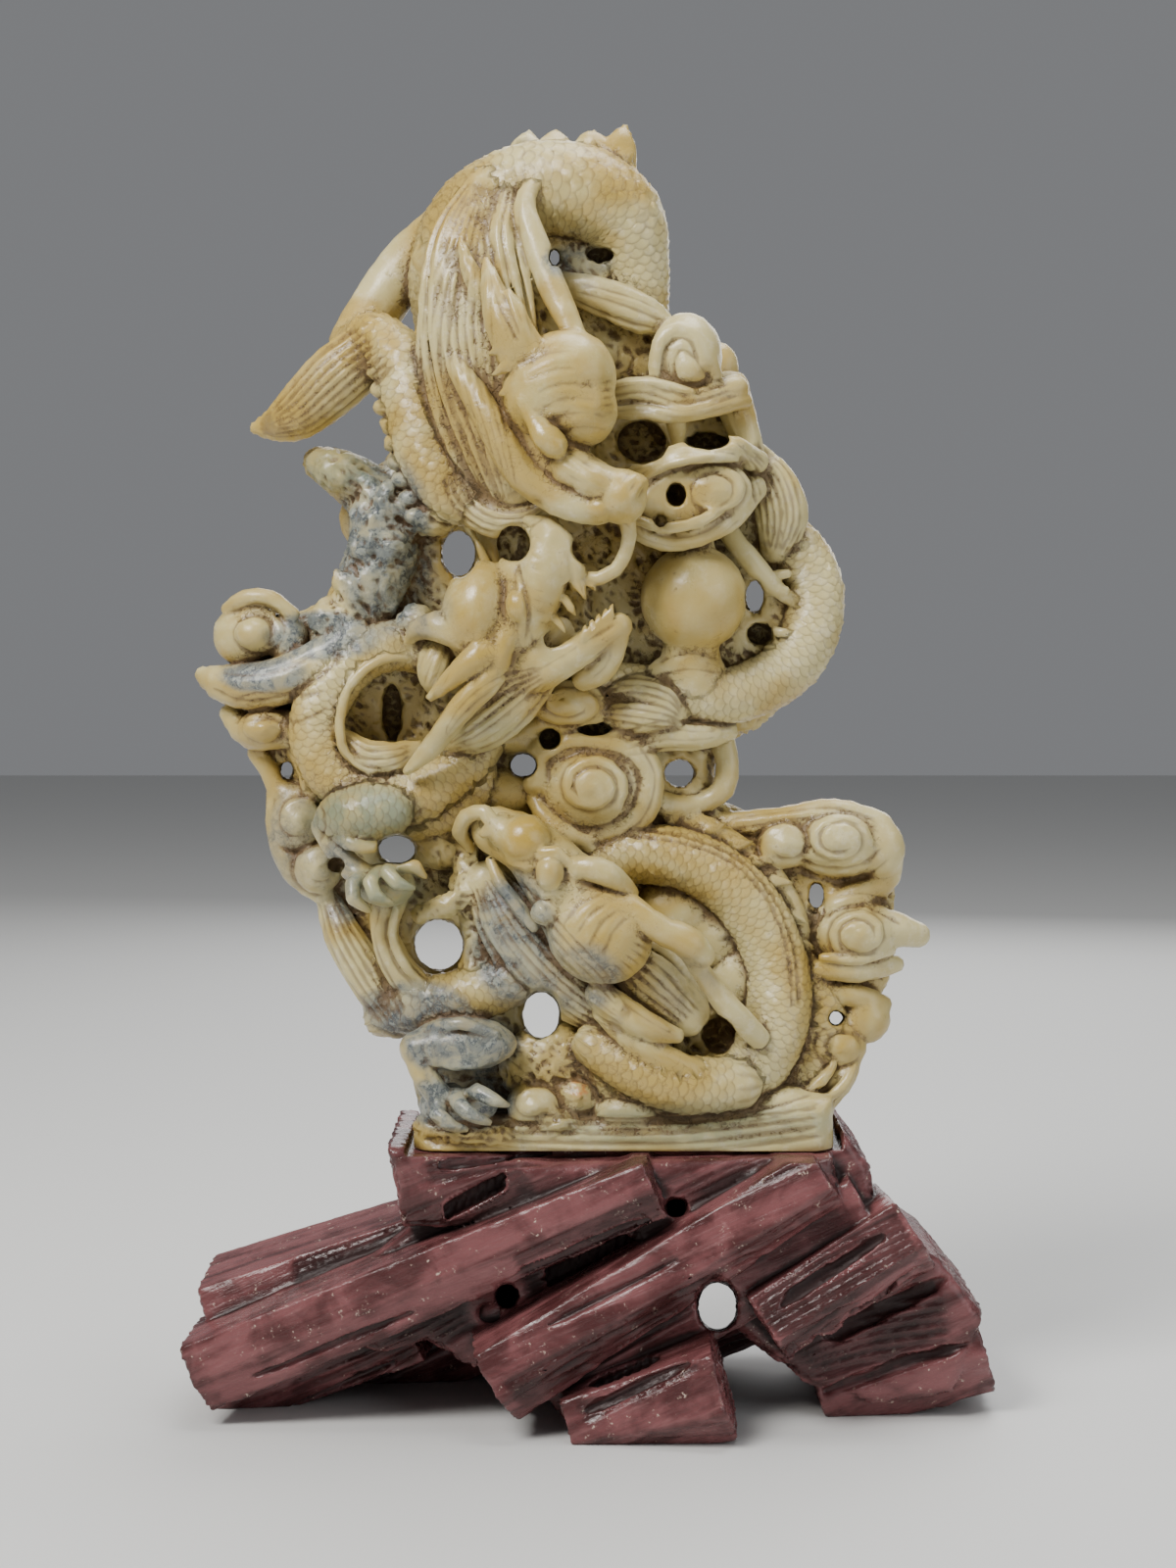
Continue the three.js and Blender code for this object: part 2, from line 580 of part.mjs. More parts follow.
// Clouds on the lower right
const RIGHT_CLOUD_TOP = [
  [745, 842, -2, 12], [800, 838, -4, 14], [850, 832, -5, 16], [895, 844, -4, 16],
];
const RIGHT_CLOUD_SIDE = [[905, 862, -2, 16], [905, 895, -2, 14], [880, 912, -4, 14], [855, 925, -4, 14]];
const RIGHT_CLOUD_TIP = [[880, 945, -5, 24], [915, 950, -4, 18], [935, 955, -2, 14]];
const RIGHT_BANDS = [
  [[835, 988, -8, 12], [875, 990, -8, 13], [912, 985, -4, 10]],
  [[840, 1012, -6, 10], [875, 1018, -6, 12], [900, 1026, -3, 10]],
];
const RIGHT_LEAF = [[858, 1060, -5, 20], [860, 1090, -6, 18], [838, 1120, -6, 18], [805, 1140, -8, 12]];

function rightClouds() {
  return [
    rough(RIGHT_CLOUD_TOP),
    mass([857, 862, -4], [52, 34, 8]),
    cloud([856, 858, -10], [32, 26]),
    mass([802, 862, -6], [28, 24, 6]),
    mass([898, 868, -4], [24, 28, 6]),
    rough(RIGHT_CLOUD_SIDE),
    mass([875, 955, -4], [42, 36, 8]),
    cloud([877, 955, -9], [32, 26], { hand: -1 }),
    rough(RIGHT_CLOUD_TIP),
    ...RIGHT_BANDS.map((path) => ridge(path)),
    mass([884, 1040, -3], [24, 26, 6]),
    cloud([856, 1072, -7], [24, 22]),
    rough(RIGHT_LEAF),
  ];
}

// The hidden side: one winding body and a few plain clouds, shallower than the front
const BACK_BODY = [
  [468, 250, 8, 30], [500, 390, 15, 33], [690, 560, 18, 33],
  [640, 720, 18, 33], [460, 800, 18, 33], [470, 920, 18, 33],
  [620, 990, 18, 35], [760, 1090, 16, 34],
];
const BACK_CLOUDS = [
  [390, 530, 9, 44, 40], [310, 700, 8, 42, 38], [760, 580, 8, 42, 38], [820, 880, 10, 48, 38],
  [350, 860, 9, 38, 36], [560, 640, 12, 44, 36], [600, 330, 11, 44, 34], [820, 1040, 10, 40, 36],
];

const BACK_LUMPS = [
  [545, 250, 8, 70, 60, 8], [600, 430, 10, 90, 80, 8], [460, 620, 10, 90, 90, 9], [720, 680, 8, 90, 80, 8],
  [640, 860, 12, 90, 70, 9], [790, 970, 12, 90, 90, 9], [510, 1050, 12, 90, 90, 9],
];

function backSide() {
  return [
    ...BACK_LUMPS.map(([a, d, depth, wide, tall, through]) => mass([a, d, depth], [wide, tall, through])),
    limb(BACK_BODY, { flat: 0.9 }),
    ...BACK_CLOUDS.map(([a, d, depth, wide, tall], i) => cloud([a, d, depth], [wide, tall], {
      hand: i % 2 ? 1 : -1,
      through: 7,
      behind: true,
    })),
  ];
}

// Holes: [across, down, wide, tall], right through, or with the depths that they run between
const THROUGH_HOLES = [
  [566, 264, 6, 9], [381, 450, 11, 20], [468, 566, 18, 24], [770, 610, 10, 17], [293, 787, 7, 10],
  [405, 868, 20, 15], [448, 965, 26, 27], [534, 782, 14, 13], [693, 790, 16, 15], [833, 915, 9, 14],
  [853, 1040, 8, 8], [552, 1037, 20, 25],
];
const BLIND_HOLES = [
  [524, 556, 17, 17, 4], [604, 560, 19, 19, 4], [690, 506, 10, 12, 0], [561, 755, 11, 11, -2],
  [733, 1058, 17, 19, 0], [655, 452, 26, 22, 10], [722, 451, 22, 9, 4],
];

function carving() {
  const joined = join([
    web(),
    ...upperDragon(),
    ...pearlGroup(),
    ...leftRock(),
    ...middleDragon(),
    ...middleClouds(),
    ...lowerDragon(),
    ...rightClouds(),
    ...backSide(),
  ]);
  const through = THROUGH_HOLES.map(([a, d, wide, tall]) => drill(carvingFrame, [a, d], [wide, tall]));
  const blind = BLIND_HOLES.map(([a, d, wide, tall, end]) => (
    drill(carvingFrame, [a, d], [wide, tall], -DRILL_REACH, end)
  ));
  const floor = PLINTH_SEAT_HEIGHT + SEAT_GAP;
  const underneath = block([-CUT_SIZE, CUT_SIZE], [-CUT_SIZE, CUT_SIZE], [-CUT_SIZE, floor]);
  return joined.subtract(join([...through, ...blind])).subtract(underneath);
}

// Plinth: crystal-like bars, each [from, to] with places [across, down, depth, half height]
const CRYSTAL = [[-0.3, -1], [0.8, -0.8], [1, 0.45], [0.3, 1], [-0.9, 0.7], [-1, -0.55]];
const CRYSTAL_BOLD = [[0, -1], [0.9, -0.9], [1, 0.5], [0.2, 1], [-1, 0.8], [-0.85, -0.8]];
const PLINTH_BARS = [
  { name: 'left front', from: [212, 1392, -10, 42], to: [672, 1205, -24, 34], deep: 1.5 },
  { name: 'left top', from: [226, 1330, 10, 44], to: [470, 1246, 6, 36], deep: 2 },
  { name: 'left under', from: [235, 1418, 12, 34], to: [430, 1346, 8, 34], deep: 2.2 },
  { name: 'middle front', from: [505, 1402, -24, 44], to: [838, 1192, -24, 36], deep: 1.4 },
  { name: 'middle under', from: [560, 1405, -8, 44], to: [880, 1225, -8, 44], deep: 1.7 },
  { name: 'right front', from: [776, 1345, -18, 44], to: [922, 1248, -14, 44], deep: 1.6 },
  { name: 'right foot', from: [828, 1398, 12, 52], to: [990, 1352, 12, 54], deep: 2.2 },
  { name: 'centre foot', from: [582, 1448, -26, 36], to: [738, 1408, -28, 52], deep: 1.3 },
  { name: 'back left foot', from: [330, 1420, 34, 44], to: [640, 1290, 30, 44], deep: 1.5 },
  { name: 'back right foot', from: [560, 1410, 32, 44], to: [900, 1260, 30, 44], deep: 1.5 },
];
const PLINTH_BODY = [
  [300, 1330], [425, 1232], [396, SEAT_ROW - 31], [440, SEAT_ROW - 11], [820, SEAT_ROW - 11],
  [850, SEAT_ROW - 27],
  [878, 1172], [885, 1222], [945, 1262], [990, 1318], [960, 1395], [880, 1405], [815, 1385],
  [742, 1330], [690, 1365], [600, 1400], [530, 1400], [488, 1370], [440, 1345], [400, 1356],
];
const PLINTH_BODY_DEPTHS = { front: -14, back: 34 };
const PLINTH_SHOULDER = [
  [402, SEAT_ROW - 11], [560, SEAT_ROW + 5], [840, SEAT_ROW - 1], [848, 1195], [760, 1240],
  [690, 1266], [620, 1225], [560, 1205], [470, 1230], [418, 1230],
];
const PLINTH_THROUGH_HOLES = [[732, 1332, 22, 26]];
const PLINTH_BLIND_HOLES = [[517, 1322, 12, 13, 4], [500, 1340, 12, 10, -16], [690, 1232, 12, 10, -4]];
const PLINTH_GROOVES = [
  [[462, 1232, -28, 10], [508, 1208, -28, 10]],
  [[566, 1300, -26, 10], [642, 1264, -26, 10]],
  [[612, 1414, -42, 11], [662, 1386, -42, 11]],
  [[868, 1346, -30, 12], [906, 1318, -30, 12]],
];

function bar({ from, to, deep }, index) {
  const section = index % 2 ? CRYSTAL : CRYSTAL_BOLD;
  return sweep(plinthFrame, [from, to], { section, segments: 1, flat: deep, straight: true });
}

function plinth() {
  const body = slab(plinthFrame, PLINTH_BODY, PLINTH_BODY_DEPTHS.front, PLINTH_BODY_DEPTHS.back, 3);
  const shoulder = slab(plinthFrame, PLINTH_SHOULDER, -26, 30, 3);
  const joined = join([body, shoulder, ...PLINTH_BARS.map(bar)]);
  const holes = join([
    ...PLINTH_THROUGH_HOLES.map(([a, d, wide, tall]) => drill(plinthFrame, [a, d], [wide, tall])),
    ...PLINTH_BLIND_HOLES.map(([a, d, wide, tall, end]) => (
      drill(plinthFrame, [a, d], [wide, tall], -DRILL_REACH, end)
    )),
    ...PLINTH_GROOVES.map((path) => limb(path, { sides: 8, steps: 1, frame: plinthFrame })),
  ]);
  const left = carvingFrame.place([428, 1165, 0]).x - SEAT_SIDE_CLEARANCE;
  const right = carvingFrame.place([846, 1165, 0]).x + SEAT_SIDE_CLEARANCE;
  const seat = block([left, right], [-CUT_SIZE, CUT_SIZE], [PLINTH_SEAT_HEIGHT, CUT_SIZE]);
  const floor = block([-CUT_SIZE, CUT_SIZE], [-CUT_SIZE, CUT_SIZE], [-CUT_SIZE, 0]);
  return joined.subtract(holes).subtract(seat).subtract(floor);
}

// Lobes that lean together can close a hollow that no carver's tool reaches, and a cut can leave a
// crumb. The hollow is stone and the crumb falls away, so only the shell that holds most is kept.
function outerShell(positions, triangles) {
  const parent = Array.from({ length: positions.length / 3 }, (_, i) => i);
  const root = (i) => {
    let at = i;
    while (parent[at] !== at) {
      parent[at] = parent[parent[at]];
      at = parent[at];
    }
    return at;
  };
  for (let i = 0; i < triangles.length; i += 3) {
    parent[root(triangles[i])] = root(triangles[i + 1]);
    parent[root(triangles[i + 1])] = root(triangles[i + 2]);
  }
  const corner = (i) => new THREE.Vector3().fromArray(positions, 3 * i);
  const held = new Map();
  for (let i = 0; i < triangles.length; i += 3) {
    const [a, b, c] = [0, 1, 2].map((k) => corner(triangles[i + k]));
    const name = root(triangles[i]);
    held.set(name, (held.get(name) ?? 0) + a.dot(b.cross(c)) / 6);
  }
  const [largest] = [...held].reduce((best, entry) => (entry[1] > best[1] ? entry : best));
  return triangles.filter((_, i) => root(triangles[i - (i % 3)]) === largest);
}

// Named meshes
function mesh(name, manifold, color, roughness) {
  const { vertProperties, triVerts } = manifold.getMesh();
  const positions = new Float32Array(vertProperties);
  const geometry = new THREE.BufferGeometry();
  geometry.setAttribute('position', new THREE.BufferAttribute(positions, 3));
  geometry.setIndex(new THREE.BufferAttribute(outerShell(positions, new Uint32Array(triVerts)), 1));
  geometry.computeVertexNormals();
  const material = new THREE.MeshStandardMaterial({ color, roughness, metalness: 0 });
  material.name = `${name}_stone`;
  const result = new THREE.Mesh(geometry, material);
  result.name = name;
  return result;
}

const sculpture = new THREE.Group();
sculpture.name = 'soapstone_dragon_sculpture';
sculpture.add(mesh('dragon_carving', carving(), 0xc4b98a, 0.42));
sculpture.add(mesh('rock_plinth', plinth(), 0x6e4240, 0.38));

export default sculpture;
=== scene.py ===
"""Soapstone dragon sculpture: the carving and its rock plinth, carved as solid fields of stone."""

import logging
import math
from dataclasses import dataclass, field
from enum import Enum

import bmesh
import bpy
import numpy as np
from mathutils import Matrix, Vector


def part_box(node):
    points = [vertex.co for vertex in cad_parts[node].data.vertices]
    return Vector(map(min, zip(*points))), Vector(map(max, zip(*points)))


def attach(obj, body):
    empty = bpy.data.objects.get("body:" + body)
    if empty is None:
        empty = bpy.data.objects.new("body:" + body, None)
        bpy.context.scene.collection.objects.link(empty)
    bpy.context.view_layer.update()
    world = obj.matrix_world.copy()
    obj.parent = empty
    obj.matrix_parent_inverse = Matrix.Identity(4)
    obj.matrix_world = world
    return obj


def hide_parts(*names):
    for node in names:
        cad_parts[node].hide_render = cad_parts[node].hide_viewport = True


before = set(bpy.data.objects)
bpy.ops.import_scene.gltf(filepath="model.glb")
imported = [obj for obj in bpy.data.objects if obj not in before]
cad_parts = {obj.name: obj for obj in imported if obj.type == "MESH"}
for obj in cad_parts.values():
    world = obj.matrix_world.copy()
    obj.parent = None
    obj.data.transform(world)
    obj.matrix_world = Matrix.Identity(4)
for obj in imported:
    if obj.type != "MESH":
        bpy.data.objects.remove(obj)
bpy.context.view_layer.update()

LOG = logging.getLogger("sculpture")

# Layout: [across, down, depth, radius]. Across, down and radius are in quarter millimetres along
# the sight line, and depth is in millimetres with the back positive, as in the part's source.
UNIT = 0.25
CENTRE = (600.0, 800.0)
ORIGIN = (1.01, 2.55)
EYE_DISTANCE = 700.0
EYE_HEIGHT = 200.0
AIM_HEIGHT = 160.0
PITCH = math.atan2(EYE_HEIGHT - AIM_HEIGHT, EYE_DISTANCE)
FOCAL = math.hypot(EYE_DISTANCE, EYE_HEIGHT - AIM_HEIGHT) / UNIT
LAYOUT_SEAT = 69.0
LAYOUT_TOP = 325.548 - 69.3
SENSOR = 36.0
PHOTO_ROWS = 1600.0

MM = 0.001
FAR = 6.0  # value of places that no stroke has reached
REACH = 2.4  # how far round a stroke its distances are reckoned
ROOM = 3.0  # empty room round the piece's box
SEAM = 0.25  # bulge of a seam over its blend
SETTLE_SHARE = 0.7  # share of the error that one fitting round takes away
SETTLE_ROUNDS = 2
MEND_ROUNDS = 3

# Worked surface, in millimetres
SCALE_PITCH = 3.3
SCALE_RELIEF = 0.42
HAIR_PITCH = 1.9
HAIR_RELIEF = 0.34
HAND_RELIEF = 0.13
ROCK_RELIEF = 1.2
FOOT_CLEAR = 0.6  # height over the underside that stays flat
FOOT_FADE = 1.5  # height over which the relief then comes in
SEAT_GAP = 0.3  # room between the carving and the plinth

# Dirt and painted shade in hollows: how far round a corner the stone is counted, and what an engraved
# millimetre adds
WIDE_CROWD = 2.6
NEAR_CROWD = 0.9
LINE_DIRT_AND_SHADE = 0.14


class Skin(Enum):
    """Carved finish of a stroke of stone."""

    PLAIN = 0
    SCALES = 1
    HAIR = 2
    ROCK = 3


@dataclass(frozen=True)
class Sight:
    """Turns layout places into millimetres on one piece.

    Args:
        seat: height of the layout's seat row in millimetres.
        tall: how many times as tall the piece is as its layout.
    """

    seat: float
    tall: float = 1.0

    def place(self, across, down, depth) -> np.ndarray:
        """Find a layout place.

        Args:
            across: layout units to the right.
            down: layout units downwards.
            depth: millimetres, the back positive.

        Returns:
            The place in millimetres, one row for each input place.
        """
        u = np.asarray(across, float) - CENTRE[0]
        v = CENTRE[1] - np.asarray(down, float)
        y = np.asarray(depth, float)
        t = (EYE_DISTANCE + y) / (FOCAL * math.cos(PITCH) + v * math.sin(PITCH))
        z = EYE_HEIGHT + t * (v * math.cos(PITCH) - FOCAL * math.sin(PITCH))
        return np.stack([t * u - ORIGIN[0], y - ORIGIN[1], self.seat + (z - LAYOUT_SEAT) * self.tall], -1)


def box_of(node: str) -> tuple[np.ndarray, np.ndarray]:
    """Give a CAD node's box in millimetres.

    Args:
        node: the node's name.

    Returns:
        Lowest and highest corner.
    """
    lo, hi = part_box(node)
    return np.array(lo) / MM, np.array(hi) / MM


def catmull(points: np.ndarray, step: float) -> np.ndarray:
    """Run a smooth curve through rows of values, the first three being a place.

    Args:
        points: rows of place and radius.
        step: longest gap between samples in millimetres.

    Returns:
        Sampled rows.
    """
    ends = np.vstack([2 * points[0] - points[1], points, 2 * points[-1] - points[-2]])
    rows = []
    for i in range(1, len(ends) - 2):
        a, b, c, d = ends[i - 1:i + 3]
        count = max(1, int(np.linalg.norm((c - b)[:3]) / step))
        s = np.arange(count)[:, None] / count
        rows.append(0.5 * (2 * b + (c - a) * s + (2 * a - 5 * b + 4 * c - d) * s**2
                           + (3 * b - a - 3 * c + d) * s**3))
    rows.append(points[-1:])
    return np.vstack(rows)


def span(axis: np.ndarray, lo: float, hi: float) -> slice:
    """Give the part of a rising axis between two values."""
    return slice(int(np.searchsorted(axis, lo)), int(np.searchsorted(axis, hi)))


@dataclass
class Limb:
    """A round or flattened stroke of stone along a path.

    Args:
        rows: layout rows.
        skin: the carved finish.
        flat: depth over width of its section.
        blend: millimetres over which it melts into the stone around it.
        pitch: millimetres of one scale.
    """

    rows: list
    skin: Skin = Skin.PLAIN
    flat: float = 1.0
    blend: float = 0.8
    pitch: float = SCALE_PITCH
    samples: np.ndarray = field(default=None, repr=False)

    def settle(self, sight: Sight) -> None:
        """Sample the path.

        Args:
            sight: the piece's layout.
        """
        rows = np.array(self.rows, float)
        places = sight.place(rows[:, 0], rows[:, 1], rows[:, 2])
        radii = rows[:, 3:4] * UNIT
        self.samples = catmull(np.hstack([places, radii]), 2.2)
        self.samples[:, 3] = np.maximum(self.samples[:, 3], 0.25)

    def bounds(self) -> tuple[np.ndarray, np.ndarray]:
        """Give the box that the limb can change."""
        reach = self.samples[:, 3:4] * max(1.0, self.flat) + REACH
        return (self.samples[:, :3] - reach).min(0), (self.samples[:, :3] + reach).max(0)

    def distance(self, x: np.ndarray, y: np.ndarray, z: np.ndarray) -> np.ndarray:
        """Measure the distance from a block of places.

        Args:
            x: places along X.
            y: places along Y.
            z: places along Z.

        Returns:
            Distances in millimetres, negative inside.
        """
        out = np.full((x.size, y.size, z.size), FAR, np.float32)
        for a, b in zip(self.samples[:-1], self.samples[1:]):
            reach = max(a[3], b[3]) + REACH
            deep = max(a[3], b[3]) * max(1.0, self.flat) + REACH
            sx = span(x, min(a[0], b[0]) - reach, max(a[0], b[0]) + reach)
            sy = span(y, min(a[1], b[1]) - deep, max(a[1], b[1]) + deep)
            sz = span(z, min(a[2], b[2]) - reach, max(a[2], b[2]) + reach)
            px = (x[sx] - a[0]).astype(np.float32)[:, None, None]
            py = ((y[sy] - a[1]) / self.flat).astype(np.float32)[None, :, None]
            pz = (z[sz] - a[2]).astype(np.float32)[None, None, :]
            run = (b - a)[:3] / (1, self.flat, 1)
            long = float(run @ run) + 1e-9
            h = np.clip((px * run[0] + py * run[1] + pz * run[2]) / long, 0, 1).astype(np.float32)
            d = np.sqrt((px - h * run[0])**2 + (py - h * run[1])**2 + (pz - h * run[2])**2)
            d -= a[3] + h * (b[3] - a[3])
            out[sx, sy, sz] = np.minimum(out[sx, sy, sz], d)
        return out

    def skin_at(self, points: np.ndarray) -> np.ndarray:
        """Unroll the limb's surface at some places.

        Args:
            points: places near the limb.

        Returns:
            For each place: millimetres along the limb, millimetres round it from the front, and
            the height over its surface.
        """
        a, b = self.samples[:-1, :3], self.samples[1:, :3]
        run = b - a
        long = np.linalg.norm(run, axis=1)
        start = np.concatenate([[0], np.cumsum(long)])[:-1]
        mean = self.samples[:, 3].mean()
        best = np.full(len(points), 1e9)
        out = np.zeros((len(points), 3))
        for i in range(len(a)):
            off = points - a[i]
            h = np.clip(off @ run[i] / (long[i]**2 + 1e-9), 0, 1)
            off = off - h[:, None] * run[i]
            off[:, 1] /= self.flat
            d = np.linalg.norm(off, axis=1)
            near = d < best
            tangent = run[i] / (long[i] + 1e-9)
            deep = np.array([0, 1.0, 0]) - tangent[1] * tangent
            deep /= np.linalg.norm(deep) + 1e-9
            side = np.cross(tangent, deep)
            best[near] = d[near]
            out[near, 0] = start[i] + h[near] * long[i]
            out[near, 1] = np.arctan2(off[near] @ side, -(off[near] @ deep)) * mean
            radius = self.samples[i, 3] + h[near] * (self.samples[i + 1, 3] - self.samples[i, 3])
            out[near, 2] = d[near] - radius
        return out


@dataclass
class Mass:
    """An egg-shaped lump of stone.

    Args:
        at: layout place.
        size: radii across and up in layout units, and through in millimetres.
        tilt: degrees, turning clockwise as seen from the front.
        blend: millimetres over which it melts into the stone around it.
        skin: the carved finish.
        pitch: millimetres of one scale.
    """

    at: tuple
    size: tuple
    tilt: float = 0.0
    blend: float = 0.8
    skin: Skin = Skin.PLAIN
    pitch: float = SCALE_PITCH
    centre: np.ndarray = field(default=None, repr=False)

    def settle(self, sight: Sight) -> None:
        """Place the lump."""
        self.centre = sight.place(*self.at)

    def bounds(self) -> tuple[np.ndarray, np.ndarray]:
        """Give the box that the lump can change."""
        wide = max(self.size[0], self.size[1]) * UNIT + REACH
        deep = self.size[2] + REACH
        reach = np.array([wide, deep, wide])
        return self.centre - reach, self.centre + reach

    def distance(self, x: np.ndarray, y: np.ndarray, z: np.ndarray) -> np.ndarray:
        """Measure the distance from a block of places, as Limb does."""
        c, s = math.cos(math.radians(self.tilt)), math.sin(math.radians(self.tilt))
        px = (x - self.centre[0]).astype(np.float32)[:, None, None]
        py = (y - self.centre[1]).astype(np.float32)[None, :, None]
        pz = (z - self.centre[2]).astype(np.float32)[None, None, :]
        rx, rz, ry = self.size[0] * UNIT, self.size[1] * UNIT, self.size[2]
        qx = c * px - s * pz
        qz = s * px + c * pz
        near = np.sqrt((qx / rx)**2 + (py / ry)**2 + (qz / rz)**2)
        steep = np.sqrt((qx / rx**2)**2 + (py / ry**2)**2 + (qz / rz**2)**2) + 1e-6
        return near * (near - 1) / steep

    def skin_at(self, points: np.ndarray) -> np.ndarray:
        """Unroll the lump's front, as Limb does."""
        off = points - self.centre
        c, s = math.cos(math.radians(self.tilt)), math.sin(math.radians(self.tilt))
        across, up = c * off[:, 0] - s * off[:, 2], s * off[:, 0] + c * off[:, 2]
        near = np.sqrt((across / self.size[0] / UNIT)**2 + (up / self.size[1] / UNIT)**2
                       + (off[:, 1] / self.size[2])**2)
        return np.stack([across, up, (near - 1) * self.size[2]], 1)


@dataclass
class Web:
    """A slab of stone with the layout's outline.

    Args:
        outline: layout places across and down.
        front: depth of the front face in millimetres.
        back: depth of the back face in millimetres.
        round_off: edge radius in millimetres.
        blend: millimetres over which it melts into the stone around it.
        skin: the carved finish.
    """

    outline: list
    front: float
    back: float
    round_off: float = 3.0
    blend: float = 2.0
    skin: Skin = Skin.ROCK
    corners: np.ndarray = field(default=None, repr=False)

    def settle(self, sight: Sight) -> None:
        """Place the outline."""
        rows = np.array(self.outline, float)
        middle = (self.front + self.back) / 2
        self.corners = sight.place(rows[:, 0], rows[:, 1], np.full(len(rows), middle))[:, [0, 2]]

    def bounds(self) -> tuple[np.ndarray, np.ndarray]:
        """Give the box that the slab can change."""
        lo, hi = self.corners.min(0) - REACH, self.corners.max(0) + REACH
        return (np.array([lo[0], self.front - ORIGIN[1] - REACH, lo[1]]),
                np.array([hi[0], self.back - ORIGIN[1] + REACH, hi[1]]))

    def distance(self, x: np.ndarray, y: np.ndarray, z: np.ndarray) -> np.ndarray:
        """Measure the distance from a block of places, as Limb does."""
        px, pz = x[:, None].astype(np.float32), z[None, :].astype(np.float32)
        near = np.full((x.size, z.size), 1e9, np.float32)
        inside = np.zeros((x.size, z.size), bool)
        for a, b in zip(self.corners, np.roll(self.corners, -1, 0)):
            ex, ez = b - a
            h = np.clip(((px - a[0]) * ex + (pz - a[1]) * ez) / (ex * ex + ez * ez), 0, 1)
            near = np.minimum(near, (px - a[0] - h * ex)**2 + (pz - a[1] - h * ez)**2)
            cross = ((a[1] > pz) != (b[1] > pz)) & (px < a[0] + ex * (pz - a[1]) / (ez + 1e-9))
            inside ^= cross
        flat = np.where(inside, -1, 1) * np.sqrt(near) + self.round_off
        half = (self.back - self.front) / 2 - self.round_off
        deep = np.abs(y + ORIGIN[1] - (self.front + self.back) / 2) - half
        flat = flat[:, None, :]
        deep = deep.astype(np.float32)[None, :, None]
        rim = np.sqrt(np.maximum(flat, 0)**2 + np.maximum(deep, 0)**2)
        return rim + np.minimum(np.maximum(flat, deep), 0) - self.round_off


@dataclass
class Bar:
    """A crystal-like bar with flat sides, straight from one layout row to another.

    Args:
        start: layout row whose radius is the half height.
        end: layout row whose radius is the half height.
        deep: half depth over half height.
        section: corners of the section, each across and through as shares, in turning order.
        blend: millimetres over which it melts into the stone around it.
        skin: the carved finish.
    """

    start: tuple
    end: tuple
    deep: float
    section: tuple
    blend: float = 0.5
    skin: Skin = Skin.ROCK
    axis: np.ndarray = field(default=None, repr=False)

    def settle(self, sight: Sight) -> None:
        """Place the bar's axis and its faces."""
        a, b = sight.place(*self.start[:3]), sight.place(*self.end[:3])
        self.axis = (b - a) / np.linalg.norm(b - a)
        self.a, self.long = a, float(np.linalg.norm(b - a))
        self.through = np.array([0, 1.0, 0]) - self.axis[1] * self.axis
        self.through /= np.linalg.norm(self.through)
        self.side = np.cross(self.axis, self.through)
        self.sizes = np.array([self.start[3], self.end[3]]) * UNIT

    def bounds(self) -> tuple[np.ndarray, np.ndarray]:
        """Give the box that the bar can change."""
        b = self.a + self.axis * self.long
        wide = self.sizes.max() * 1.1 + REACH
        reach = np.array([wide, self.sizes.max() * self.deep * 1.1 + REACH, wide])
        return np.minimum(self.a, b) - reach, np.maximum(self.a, b) + reach

    def distance(self, x: np.ndarray, y: np.ndarray, z: np.ndarray) -> np.ndarray:
        """Measure the distance from a block of places, as Limb does."""
        px = (x - self.a[0]).astype(np.float32)[:, None, None]
        py = (y - self.a[1]).astype(np.float32)[None, :, None]
        pz = (z - self.a[2]).astype(np.float32)[None, None, :]
        along = px * self.axis[0] + py * self.axis[1] + pz * self.axis[2]
        across = px * self.side[0] + py * self.side[1] + pz * self.side[2]
        through = px * self.through[0] + py * self.through[1] + pz * self.through[2]
        size = self.sizes[0] + np.clip(along / self.long, 0, 1) * (self.sizes[1] - self.sizes[0])
        d = np.abs(along - self.long / 2) - self.long / 2
        corners = np.array(self.section)
        for p, q in zip(corners, np.roll(corners, -1, 0)):
            p, q = p * (1, self.deep), q * (1, self.deep)
            nx, ny = (q - p)[1], -(q - p)[0]
            n = math.hypot(nx, ny)
            nx, ny = nx / n, ny / n
            if p[0] * nx + p[1] * ny < 0:
                nx, ny = -nx, -ny
            d = np.maximum(d, across * nx + through * ny - size * float(p[0] * nx + p[1] * ny))
        return d.astype(np.float32)


